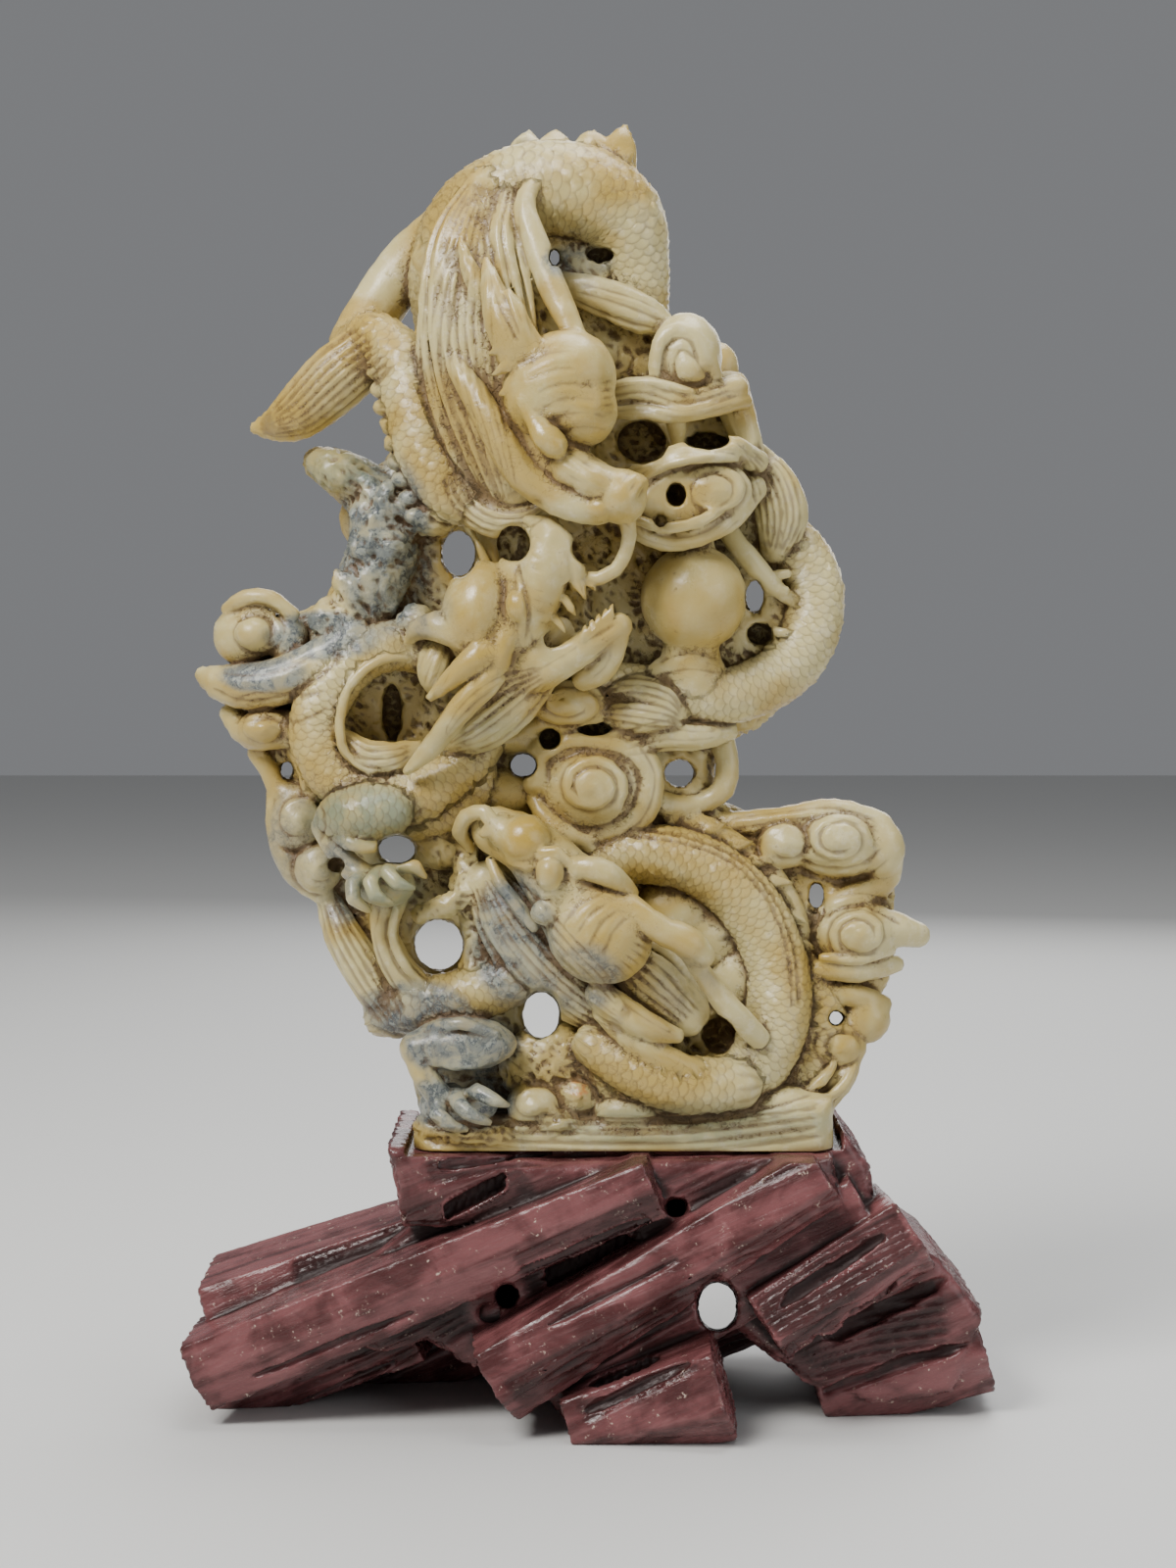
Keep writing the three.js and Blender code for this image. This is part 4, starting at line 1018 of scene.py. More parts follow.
def left_rock() -> list:
    """Carve the rock column and the clouds at the left."""
    rng = np.random.default_rng(11)
    out = [
        Limb([[325, 474, 4, 16], [352, 486, 2, 24], [385, 515, -2, 30], [392, 560, -4, 36],
            [372, 610, -5, 34], [345, 655, -6, 28]], Skin.ROCK, blend=1.2),
        Mass((352, 486, -3), (34, 23, 7), 24, 1.4, Skin.ROCK),
        Mass((332, 474, -1), (20, 16, 5), 0, 1.2),
        Mass((440, 528, -8), (28, 20, 7), 0, 1.0, Skin.ROCK),
        Mass((425, 640, -12), (20, 22, 6), 0, 1.0, Skin.ROCK),
        Mass((250, 650, -2), (32, 32, 8), 0, 1.0),
        *scroll((262, 646, -6), (29, 26), -1, 1.4, 5.5, 0.5),
        Mass((258, 648, -10), (19, 16, 4.5), 0, 0.5),
        Mass((292, 652, -6), (22, 24, 6), 0, 1.0),
        Limb([[232, 622, -5, 6], [250, 612, -8, 9], [275, 612, -9, 9], [298, 628, -9, 8]], blend=0.6),
        Limb([[208, 690, -2, 9], [226, 698, -5, 18], [256, 702, -8, 24], [292, 694, -10, 24],
            [326, 676, -11, 22], [362, 648, -12, 14]], blend=1.0),
        Groove([[214, 702], [245, 716], [285, 712], [322, 694], [352, 668]], deep=0.6),
        Groove([[216, 684], [245, 690], [285, 686], [322, 668]], deep=0.4),
        *lines([[236, 728, 12], [262, 722, 16], [300, 724, 16], [330, 716, 10]], 2),
        Limb([[234, 730, -2, 10], [258, 748, -5, 18], [296, 745, -7, 20], [325, 765, -8, 16]]),
        *scroll((270, 745, -8), (27, 20), 1, 1.5, 5.0, 3.3),
        Limb([[262, 768, -2, 10], [276, 790, -3, 10], [284, 806, -3, 11], [300, 815, -4, 14]]),
        Limb([[300, 770, -6, 8], [314, 790, -7, 10], [318, 815, -7, 10]]),
        Limb([[498, 530, -4, 13], [498, 560, -7, 11], [506, 596, -8, 11]], flat=0.8),
        Limb([[476, 540, -9, 4], [488, 560, -11, 5], [502, 584, -11, 4]], blend=0.4),
    ]
    for _ in range(46):
        along = rng.uniform(0.25, 1)
        place = np.array([330, 478]) * (1 - along) ** 2 + np.array([430, 540]) * 2 * along * (1 - along) \
            + np.array([350, 655]) * along**2
        place = place + rng.normal(0, 15, 2)
        depth = -9 + rng.uniform(-3, 2)
        size = (rng.uniform(8, 18), rng.uniform(10, 24), rng.uniform(2, 4))
        out.append(Mass((place[0], place[1], depth), size, rng.uniform(-40, 40), 1.2, Skin.ROCK))
    return out


def middle_dragon() -> list:
    """Carve the middle dragon: looped body, thigh and paw, and the head with its open jaws."""
    out = [
        Limb([[450, 668, -10, 24], [402, 660, -10, 26], [365, 674, -11, 26], [337, 704, -12, 27],
            [323, 738, -12, 28], [330, 775, -12, 28], [355, 803, -12, 28], [392, 816, -12, 29],
            [432, 811, -12, 29], [466, 790, -11, 27], [492, 762, -9, 22]], Skin.SCALES, blend=1.0),
        Limb([[415, 672, -15, 4], [385, 676, -17, 5], [358, 700, -18, 5], [347, 735, -18, 5],
            [352, 770, -18, 5], [378, 790, -17, 4]], blend=0.4),
        Limb([[400, 850, -8, 14], [440, 838, -10, 18], [478, 818, -11, 18], [494, 790, -9, 14]], Skin.SCALES),
        # head
        Mass((488, 624, -19), (36, 50, 13.5), 12, 1.2),
        Mass((500, 660, -18), (36, 32, 12), 0, 1.2),
        Mass((534, 606, -20), (32, 66, 10.5), 12, 1.2),
        *lines([[524, 560, 8], [526, 600, 14], [528, 640, 16], [532, 664, 16]], 3, 0.8, deep=0.3),
        Limb([[505, 658, -20, 34], [530, 632, -24, 29], [549, 600, -27, 27], [559, 566, -28, 23],
            [557, 542, -26, 15]], blend=1.2),
        Limb([[512, 690, -20, 24], [548, 672, -22, 22], [572, 645, -23, 14]], blend=1.0),
        *[Groove([[536 + 1.2 * k, 546 + 11 * k], [556 + 0.6 * k, 552 + 11 * k]], deep=0.4, wide=1.8)
          for k in range(9)],
        Groove([[532, 545], [528, 575], [534, 600], [540, 630], [536, 655]], deep=0.6),
        # snout ridges, nostril and upper lip
        Limb([[538, 532, -25, 5], [552, 536, -28, 8], [566, 545, -30, 10], [580, 562, -30, 10],
            [588, 582, -30, 9], [588, 600, -28, 6]], blend=0.5),
        Mass((562, 552, -30), (12, 10, 3.5), 0, 0.4),
        Limb([[566, 552, -31, 5], [574, 572, -32, 6], [576, 592, -31, 5]], blend=0.5),
        # lower jaw with its lip and tongue
        Limb([[524, 698, -20, 18], [552, 686, -23, 20], [584, 668, -25, 18], [610, 652, -26, 16],
            [632, 640, -27, 13]], blend=0.8, flat=0.8),
        *lines([[530, 704, 16], [556, 694, 16], [588, 674, 15], [614, 656, 12], [636, 640, 8]],
            2, 0.7, deep=0.35),
        Limb([[596, 694, -20, 12], [612, 684, -22, 15], [624, 668, -24, 13], [632, 652, -26, 9]], flat=0.7),
        *lines([[598, 698, 10], [614, 686, 13], [628, 666, 10]], 3, deep=0.35),
        Limb([[584, 588, -29, 7], [592, 600, -30, 5.5], [598, 613, -31, 1.5]], blend=0.3),
        Limb([[590, 584, -28, 6], [600, 594, -29, 4.5], [608, 604, -30, 1.5]], blend=0.3),
        Limb([[576, 612, -29, 5], [583, 622, -30, 4], [588, 630, -30, 1.5]], blend=0.3),
        Limb([[566, 632, -28, 4.5], [573, 640, -29, 3.5], [577, 647, -29, 1.5]], blend=0.3),
        # eye, and the smooth crown that hangs over it
        Mass((530, 620, -30), (13, 18, 4.5), -10, 0.3),
        Limb([[512, 636, -28, 6], [516, 655, -29, 9], [510, 676, -28, 10]], blend=0.6),
        # ear, hair knot, horns
        Limb([[416, 656, -16, 4], [426, 644, -19, 10], [446, 640, -22, 15], [470, 648, -24, 17]], blend=0.6),
        Mass((446, 682, -15), (20, 30, 6), 0, 0.8),
        *lines([[452, 660, 16], [440, 690, 18], [430, 715, 10]], 4),
        Limb([[512, 660, -25, 15], [490, 670, -28, 15], [472, 684, -28, 12], [456, 698, -27, 9],
            [440, 712, -25, 5]], blend=0.6),
        Limb([[510, 676, -25, 14], [494, 700, -27, 14], [472, 722, -27, 13], [455, 745, -26, 12],
            [436, 768, -24, 10], [416, 788, -21, 5]], blend=0.6),
        # whisker loop
        Limb([[582, 590, -26, 6], [596, 592, -28, 7], [612, 591, -29, 7], [628, 582, -30, 7],
            [638, 566, -30, 7], [642, 548, -31, 7], [640, 532, -32, 8]], blend=0.4),
        # thigh, shin and paw
        Mass((372, 832, -18), (50, 31, 9), -6, 1.0, Skin.SCALES),
        Limb([[350, 756, -14, 12], [372, 774, -15, 18], [400, 774, -15, 17], [424, 764, -14, 8]],
            Skin.HAIR, blend=1.0, flat=0.6),
        *lines([[350, 756, 12], [372, 774, 18], [400, 774, 17], [424, 764, 8]], 5, 0.9),
        Limb([[332, 846, -16, 14], [344, 868, -19, 13], [360, 888, -20, 13], [384, 902, -21, 13]]),
        Mass((394, 904, -20), (29, 22, 7), 0, 0.8),
        Limb([[372, 897, -22, 9], [360, 904, -26, 8], [360, 918, -28, 7], [378, 931, -26, 3]], blend=0.35),
        Limb([[388, 893, -24, 9], [378, 902, -29, 8], [382, 914, -31, 7], [400, 922, -29, 3]], blend=0.35),
        Limb([[402, 888, -24, 9], [396, 892, -29, 8], [404, 902, -31, 7], [422, 907, -29, 3]], blend=0.35),
        Limb([[400, 892, -23, 9], [412, 884, -27, 8], [424, 886, -28, 7], [434, 896, -27, 3]], blend=0.35),
        Limb([[340, 850, -20, 5], [356, 862, -24, 7], [384, 866, -24, 6], [402, 858, -20, 4]], blend=0.5),
        # stone below the paw
        Limb([[430, 934, -12, 10], [455, 926, -14, 12], [476, 908, -12, 12], [474, 870, -6, 14]], Skin.ROCK),
        Limb([[398, 918, -14, 18], [392, 950, -14, 14], [404, 985, -14, 16], [425, 1010, -12, 18]],
            Skin.HAIR),
        Limb([[404, 930, -20, 4], [400, 955, -19, 5], [412, 985, -19, 5], [430, 1004, -16, 4]], blend=0.4),
        Mass((448, 862, -4), (30, 26, 8), 0, 1.0, Skin.ROCK),
        Limb([[335, 918, -4, 12], [350, 955, -7, 19], [378, 1000, -8, 22], [405, 1042, -8, 18]], Skin.HAIR),
        *lines([[335, 918, 12], [350, 955, 20], [376, 1000, 22], [402, 1040, 14]], 6, 0.9, deep=0.65),
        *lines([[398, 930, 14], [394, 955, 14], [404, 985, 16], [422, 1008, 16]], 3),
        Limb([[282, 812, -2, 10], [284, 850, -4, 12], [300, 888, -5, 14], [328, 912, -5, 12]]),
        *scroll((304, 838, -5), (28, 30), 1, 1.2, 6.0, 1.0),
        *scroll((324, 886, -6), (26, 26), -1, 1.1, 6.0, 2.0),
        Limb([[474, 905, -8, 16], [486, 950, -10, 14], [486, 990, -12, 18]], Skin.ROCK),
    ]
    mane = [[556, 692, -19, 12], [520, 716, -19, 26], [486, 742, -17, 26], [456, 762, -13, 10]]
    out += [Limb(mane, Skin.HAIR, flat=0.75, blend=1.0), *strands(mane, 6, 0.95, 6)]
    for k in range(5):
        out.append(Limb([[592 + 7 * k, 664 - 6 * k, -28, 4], [595 + 7 * k, 652 - 6 * k, -29, 3.4],
                         [597 + 7 * k, 638 - 5 * k, -29, 1.4]], blend=0.3))
    return out


def middle_clouds() -> list:
    """Carve the clouds between the middle and the lower dragon."""
    return [
        Mass((605, 806, -8), (60, 52, 10), 0, 1.2),
        *lines([[552, 800, 12], [554, 774, 12], [578, 758, 12], [606, 758, 12], [642, 766, 12],
            [660, 792, 12], [652, 828, 12], [624, 850, 12], [592, 856, 12]], 2, 0.7),
        *scroll((604, 804, -15), (38, 34), 1, 1.7, 5.0, 2.6),
        Limb([[548, 800, -11, 14], [550, 772, -11, 14], [575, 760, -12, 14], [604, 758, -12, 15],
            [640, 766, -12, 16], [662, 790, -11, 15], [655, 828, -11, 16], [625, 850, -11, 16],
            [592, 858, -11, 14]], blend=1.2),
        *scroll((580, 720, -12), (40, 24), 1, 1.6, 7.0, 0.2),
        Limb([[530, 742, -8, 8], [556, 740, -12, 9], [590, 740, -13, 9], [622, 724, -12, 8]], blend=0.5),
        Mass((515, 812, -4), (40, 26, 8), 0, 1.0),
        Mass((530, 752, -4), (36, 20, 8), 0, 1.0),
        Limb([[545, 812, -10, 8], [552, 830, -13, 9], [575, 850, -15, 9], [600, 862, -14, 8]], blend=0.5),
    ]


def lower_dragon() -> list:
    """Carve the lower dragon: ring body, outer coil, head, beard, legs and the base."""
    ring_rim = [[640, 850, 4], [700, 858, 4], [752, 880, 4], [788, 920, 4], [808, 975, 4], [812, 1030, 4]]
    out = [
        *lines(ring_rim, 2, 0.9, deep=0.6),
        Web([[426, 1146], [470, 1130], [560, 1126], [700, 1122], [800, 1100], [844, 1110], [846, 1200],
            [426, 1200]], -21, 22, 7.0, 2.0, Skin.PLAIN),
        Limb([[596, 884, -8, 26], [648, 873, -9, 30], [700, 879, -9, 31], [744, 904, -9, 32],
            [774, 940, -9, 32], [790, 978, -9, 32], [795, 1015, -10, 33], [788, 1055, -11, 34],
            [765, 1092, -12, 34], [722, 1112, -13, 33], [675, 1110, -14, 32], [630, 1098, -14, 28],
            [598, 1075, -12, 20]], Skin.SCALES, blend=1.0),
        Limb([[812, 985, -3, 24], [833, 1025, -4, 28], [832, 1065, -4, 30], [812, 1102, -5, 28],
            [780, 1130, -6, 24]], Skin.SCALES, blend=1.0),
        Limb([[650, 834, -4, 8], [690, 836, -5, 12], [730, 852, -6, 13], [775, 884, -6, 13],
            [806, 925, -6, 13], [816, 965, -4, 11], [815, 1000, -3, 6]], flat=0.5),
        *spikes([[655, 836, -6, 8], [700, 838, -7, 8], [750, 864, -8, 8], [798, 912, -8, 8],
            [818, 975, -6, 8]], 8, 14, 8, 1, 0.8),
        Limb([[606, 1068, -19, 22], [650, 1092, -20, 28], [700, 1108, -20, 30], [752, 1108, -19, 26]],
            Skin.SCALES, blend=1.0, pitch=3.8),
        # face
        Limb([[505, 848, -18, 24], [535, 862, -21, 29], [562, 888, -22, 34], [590, 925, -22, 42],
            [606, 955, -22, 44]], blend=1.4),
        Limb([[480, 866, -15, 6], [469, 850, -19, 8], [476, 834, -22, 8], [494, 830, -25, 8],
            [504, 842, -26, 7], [494, 852, -26, 5]], blend=0.4),
        Mass((536, 858, -26), (25, 25, 7), 0, 0.6),
        Mass((512, 850, -25), (14, 16, 4), 0, 0.6),
        Limb([[520, 878, -26, 5], [538, 884, -29, 7], [555, 876, -30, 6]], blend=0.5),
        Mass((561, 892, -31), (14, 18, 4.2), 0, 0.3),
        Limb([[544, 884, -28, 4], [552, 872, -31, 6], [568, 870, -32, 6], [580, 882, -31, 5]], blend=0.4),
        Limb([[546, 902, -28, 4], [556, 914, -30, 5], [572, 912, -31, 5]], blend=0.4),
        Mass((612, 953, -26), (54, 50, 10.5), 35, 1.0),
        *[Groove([[572 + 14 * k, 948 + 10 * k], [590 + 12 * k, 925 + 9 * k], [616 + 8 * k, 912 + 8 * k]],
                 deep=0.45, wide=3.2) for k in range(4)],
        Mass((556, 932, -29), (14, 13, 4), 0, 0.4),
        Mass((590, 888, -29), (13, 12, 4), 0, 0.5),
        Limb([[576, 884, -27, 8], [596, 886, -30, 12], [620, 893, -31, 13], [644, 912, -27, 8]], blend=0.5),
        Limb([[500, 880, -20, 5], [512, 905, -23, 7], [532, 930, -25, 7], [545, 948, -25, 5]], blend=0.5),
        # antlers, horns
        Limb([[636, 918, -28, 10], [650, 932, -30, 13], [674, 950, -31, 14], [700, 964, -30, 13],
            [711, 985, -28, 10], [728, 1010, -26, 11], [750, 1036, -24, 13], [774, 1060, -20, 11]],
            blend=0.6),
        Limb([[690, 956, -31, 15], [706, 966, -31, 16], [716, 976, -30, 13]], blend=0.5),
        Limb([[612, 1016, -25, 15], [638, 1036, -26, 16], [664, 1050, -26, 14], [690, 1058, -24, 8]],
            blend=0.7),
        Limb([[618, 1034, -23, 13], [645, 1060, -24, 14], [675, 1080, -24, 14], [708, 1094, -23, 13],
            [738, 1100, -20, 9]], blend=0.6),
        # hair behind the head and the beard
        Limb([[635, 985, -18, 26], [668, 1010, -18, 32], [700, 1035, -17, 24]], Skin.HAIR, flat=0.8),
        *strands([[632, 975, -18, 26], [668, 1005, -18, 34], [708, 1042, -15, 24]], 7, 0.95, 5.5),
        Limb([[500, 905, -12, 26], [525, 945, -13, 34], [560, 985, -14, 34], [600, 1020, -14, 30],
            [645, 1052, -12, 12]], Skin.HAIR, flat=0.8),
        *strands([[496, 895, -12, 18], [524, 942, -14, 34], [560, 985, -15, 36], [602, 1022, -14, 30],
            [640, 1050, -12, 12]], 9, 0.95, 6),
        # stone between the foot and the coil, and inside the ring
        Mass((566, 1090, -9), (56, 46, 8), 0, 1.5, Skin.ROCK),
        *lines([[520, 1060, 20], [560, 1085, 26], [600, 1120, 16]], 4, 0.9, deep=0.45),
        Mass((690, 930, -4), (40, 34, 7), 20, 0.6),
        Mass((728, 952, -4), (36, 36, 6), 40, 0.6),
        Mass((752, 1000, -4), (28, 40, 7), 20, 0.6),
        # left body, thigh, shin and foot
        Limb([[392, 1038, -6, 22], [425, 1028, -11, 27], [475, 1018, -13, 29], [520, 1002, -13, 27]],
            Skin.SCALES, blend=1.2),
        Mass((472, 1066, -20), (54, 27, 9), 0, 1.0),
        Mass((426, 1070, -22), (18, 17, 5), 0, 0.6),
        Limb([[424, 1072, -22, 14], [430, 1092, -23, 13], [442, 1112, -23, 13], [458, 1132, -21, 13]]),
        Mass((468, 1128, -17), (40, 22, 8), 0, 0.8),
        Limb([[452, 1126, -22, 9], [446, 1138, -27, 8], [458, 1149, -29, 7], [476, 1154, -27, 3]],
            blend=0.35),
        Limb([[466, 1120, -22, 9], [470, 1130, -28, 8], [484, 1141, -30, 7], [500, 1147, -28, 3]],
            blend=0.35),
        Limb([[480, 1114, -22, 9], [490, 1116, -28, 8], [504, 1124, -30, 7], [518, 1129, -28, 3]],
            blend=0.35),
        Limb([[440, 1050, -24, 5], [470, 1046, -28, 6], [505, 1056, -26, 5]], blend=0.5),
        Limb([[434, 1082, -24, 5], [470, 1088, -27, 6], [505, 1080, -25, 5]], blend=0.5),
        # lobes and band of the base
        *scroll((545, 1128, -15), (28, 22), 1, 1.2, 7.0, 0.5),
        *scroll((590, 1118, -12), (26, 20), -1, 1.0, 7.0, 0.5),
        Limb([[540, 1150, -13, 12], [580, 1160, -15, 14], [640, 1164, -16, 14], [700, 1162, -17, 16],
            [780, 1150, -14, 16], [838, 1132, -8, 13]], blend=1.2),
        Groove([[548, 1138], [620, 1143], [700, 1142], [780, 1132], [842, 1112]], deep=0.7),
        Groove([[548, 1150], [620, 1154], [700, 1153], [780, 1143], [844, 1124]], deep=0.4),
        *lines([[440, 1158, 12], [560, 1162, 16], [700, 1162, 18], [838, 1146, 16]], 4, 0.9, deep=0.6),
        Mass((640, 1136, -16), (34, 20, 6), 0, 1.0),
        Mass((566, 1146, -16), (26, 16, 6), 0, 1.0, Skin.ROCK),
        Limb([[434, 1150, -17, 12], [470, 1160, -19, 12], [520, 1160, -18, 12], [552, 1152, -16, 10]],
            Skin.ROCK),
    ]
    return out


def right_clouds() -> list:
    """Carve the clouds at the lower right."""
    return [
        Limb([[745, 842, -2, 12], [800, 838, -4, 14], [850, 832, -5, 16], [895, 844, -4, 16]]),
        Mass((857, 862, -4), (52, 34, 8), 0, 1.2),
        *scroll((856, 858, -9), (34, 27), 1, 1.9, 5.5, 0.6),
        *scroll((802, 862, -5), (28, 25), -1, 1.1, 6.0, 2.5),
        Mass((898, 868, -4), (25, 30, 6), 0, 1.0),
        Limb([[905, 862, -2, 16], [905, 895, -2, 14], [880, 912, -4, 14], [855, 925, -4, 14]]),
        *lines([[812, 884, 8], [845, 894, 8], [880, 890, 8], [905, 872, 8]], 2, 0.8),
        *lines([[745, 842, 12], [800, 834, 10], [850, 830, 10], [892, 842, 10]], 2, 0.5),
        Mass((875, 955, -4), (42, 36, 8), 0, 1.2),
        *scroll((877, 955, -8), (32, 27), -1, 1.7, 5.5, 0.2),
        Limb([[880, 945, -5, 22], [915, 950, -4, 18], [936, 955, -2, 13]]),
        *lines([[832, 936, 8], [855, 922, 8], [885, 920, 8], [926, 940, 8]], 2, 0.8),
        Limb([[835, 990, -8, 10], [875, 992, -8, 12], [914, 985, -4, 9]], blend=0.5),
        Limb([[840, 978, -10, 5], [875, 980, -11, 6], [910, 972, -8, 4]], blend=0.4),
        Limb([[840, 1012, -6, 10], [875, 1018, -6, 12], [900, 1026, -3, 10]], blend=0.5),
        Mass((884, 1040, -3), (24, 26, 6), 0, 1.0),
        *scroll((858, 1070, -6), (26, 22), 1, 1.4, 5.5, 1.8),
        Limb([[858, 1060, -5, 18], [860, 1090, -6, 17], [838, 1120, -6, 17], [805, 1140, -8, 10]], Skin.HAIR),
        Limb([[850, 1088, -11, 4], [838, 1104, -12, 6], [812, 1122, -12, 4]], blend=0.4),
        Limb([[872, 1086, -9, 4], [862, 1108, -11, 6], [836, 1128, -11, 4]], blend=0.4),
    ]


def back_side() -> list:
    """Carve the hidden side, plainer than the front: a winding body, a few clouds and rock."""
    rng = np.random.default_rng(5)
    out = [
        Limb([[468, 250, 8, 30], [500, 390, 15, 33], [690, 560, 18, 33], [640, 720, 18, 33],
            [460, 800, 18, 33], [470, 920, 18, 33], [620, 990, 18, 35], [760, 1090, 16, 34]],
            Skin.SCALES, flat=0.9, blend=1.2),
        *scroll((390, 530, 9), (44, 40), 1, 1.3, 7.0, 0.4, 1),
        *scroll((310, 700, 8), (42, 38), -1, 1.3, 7.0, 1.4, 1),
        *scroll((760, 580, 8), (42, 38), 1, 1.3, 7.0, 2.4, 1),
        *scroll((820, 880, 10), (48, 38), -1, 1.5, 7.0, 0.4, 1),
        *scroll((350, 860, 9), (38, 36), 1, 1.2, 7.0, 0.4, 1),
        *scroll((560, 640, 12), (44, 36), 1, 1.4, 6.0, 0.9, 1),
        *scroll((600, 330, 11), (44, 34), -1, 1.3, 6.0, 0.4, 1),
        *scroll((820, 1040, 10), (40, 36), 1, 1.3, 7.0, 0.4, 1),
        *scroll((640, 850, 12), (50, 38), 1, 1.4, 6.0, 0.2, 1),
    ]
    for across, down, depth, wide, tall, through in (
        (545, 250, 8, 70, 60, 8), (600, 430, 10, 90, 80, 8), (460, 620, 10, 90, 90, 9),
        (720, 680, 8, 90, 80, 8), (640, 860, 12, 90, 70, 9), (790, 970, 12, 90, 90, 9),
        (510, 1050, 12, 90, 90, 9),
    ):
        out.append(Mass((across, down, depth), (wide, tall, through), 0, 1.5, Skin.ROCK))
        for _ in range(9):
            turn, reach = rng.uniform(0, 2 * math.pi), rng.uniform(0.2, 0.95)
            out.append(Mass((across + wide * reach * math.cos(turn), down + tall * reach * math.sin(turn),
                             depth + through * 0.75 * math.sqrt(1 - reach**2)),
                            (rng.uniform(12, 26), rng.uniform(12, 26), rng.uniform(2, 3.5)),
                            rng.uniform(-60, 60), 0.8, Skin.ROCK))
    return out


# Drilled holes: across, down, radius across, radius down, and the depth where a blind one ends
THROUGH_HOLES = [
    (566, 264, 6, 9), (381, 450, 11, 20), (468, 566, 18, 24), (770, 610, 10, 17), (293, 787, 7, 10),
    (405, 868, 20, 15), (448, 965, 26, 27), (534, 782, 14, 13), (693, 790, 16, 15), (833, 915, 9, 14),
    (853, 1040, 8, 8), (552, 1037, 20, 25),
]
BLIND_HOLES = [
    (524, 556, 17, 18, -3), (604, 560, 20, 17, -3), (690, 506, 10, 12, 0), (561, 755, 11, 11, -2),
    (733, 1058, 17, 19, 0), (655, 452, 26, 22, 3), (722, 451, 22, 9, 4), (674, 533, 6, 6, -8),
    (343, 884, 9, 8, -4), (475, 1102, 10, 9, -10), (612, 262, 14, 8, 2), (775, 648, 14, 12, 4),
    (606, 746, 17, 6, -4), (400, 728, 11, 30, 3),
]

# The gap between the middle dragon's jaws
MOUTHS = [
    [[552, 668, -24, 6], [564, 655, -25, 10], [581, 640, -26, 12], [600, 622, -27, 13]],
    [[556, 666, -19, 7], [566, 655, -19, 9], [582, 639, -19, 11], [598, 624, -20, 10]],
]

# Colour regions of the carving: across, down, radius across, radius down, strength
GREY = [
    (392, 560, 50, 90, 1.0), (330, 650, 60, 26, 1.0), (270, 690, 50, 18, 0.8), (430, 620, 40, 40, 0.5),
    (590, 268, 44, 20, 0.7), (300, 860, 34, 60, 0.5), (345, 900, 30, 50, 0.6), (470, 1066, 60, 34, 1.0),
    (470, 1126, 60, 30, 0.9), (525, 960, 50, 70, 0.8), (590, 1000, 50, 40, 0.6), (420, 1030, 60, 30, 0.8),
    (700, 1010, 40, 40, 0.45), (385, 490, 40, 40, 0.5),
]
GREEN = [
    (342, 480, 40, 24, 0.6), (372, 832, 55, 30, 0.9), (395, 905, 36, 26, 0.8), (700, 1150, 160, 22, 0.6),
    (500, 760, 60, 30, 0.3),
]
HONEY = [
    (570, 410, 60, 60, 0.9), (630, 508, 30, 30, 0.7), (486, 620, 40, 60, 0.9), (536, 858, 30, 28, 1.0),
    (612, 950, 60, 56, 0.9), (835, 1050, 36, 80, 0.8), (440, 240, 50, 60, 0.6), (360, 350, 50, 40, 0.7),
    (708, 612, 60, 60, 0.5), (610, 180, 60, 40, 0.7), (500, 700, 70, 40, 0.4), (280, 430, 40, 30, 0.9),
    (640, 460, 60, 60, 0.3),
]
STAIN = [(592, 1110, 12, 10, 1.0)]

# Plinth: crystal-like bars and the stone they grow from
CRYSTAL = ((-0.3, -1), (0.8, -0.8), (1, 0.45), (0.3, 1), (-0.9, 0.7), (-1, -0.55))
CRYSTAL_BOLD = ((0, -1), (0.9, -0.9), (1, 0.5), (0.2, 1), (-1, 0.8), (-0.85, -0.8))
PLINTH_BARS = [
    ((212, 1392, -10, 42), (672, 1205, -24, 34), 1.5),
    ((226, 1330, 10, 44), (470, 1246, 6, 36), 2.0),
    ((235, 1418, 12, 34), (430, 1346, 8, 34), 2.2),
    ((505, 1402, -24, 44), (838, 1192, -24, 36), 1.4),
    ((560, 1405, -8, 44), (880, 1225, -8, 44), 1.7),
    ((776, 1345, -18, 44), (922, 1248, -14, 44), 1.6),
    ((828, 1398, 12, 52), (990, 1352, 12, 54), 2.2),
    ((582, 1448, -26, 36), (738, 1408, -28, 52), 1.3),
    ((330, 1420, 34, 44), (640, 1290, 30, 44), 1.5),
    ((560, 1410, 32, 44), (900, 1260, 30, 44), 1.5),
]
PLINTH_BODY = [
    [300, 1330], [425, 1232], [410, 1148], [440, 1152], [820, 1150], [850, 1134],
    [878, 1172], [885, 1222], [945, 1262], [990, 1318], [960, 1395], [880, 1405], [815, 1385],
    [742, 1330], [690, 1365], [600, 1400], [530, 1400], [488, 1370], [440, 1345], [400, 1356],
]
PLINTH_SHOULDER = [
    [402, 1150], [560, 1166], [840, 1160], [848, 1195], [760, 1240], [690, 1266], [620, 1225],
    [560, 1205], [470, 1230], [418, 1230],
]
PLINTH_THROUGH_HOLES = [(732, 1332, 22, 26)]
PLINTH_BLIND_HOLES = [(517, 1322, 12, 13, 4), (500, 1340, 12, 10, -16), (690, 1232, 12, 10, -4)]
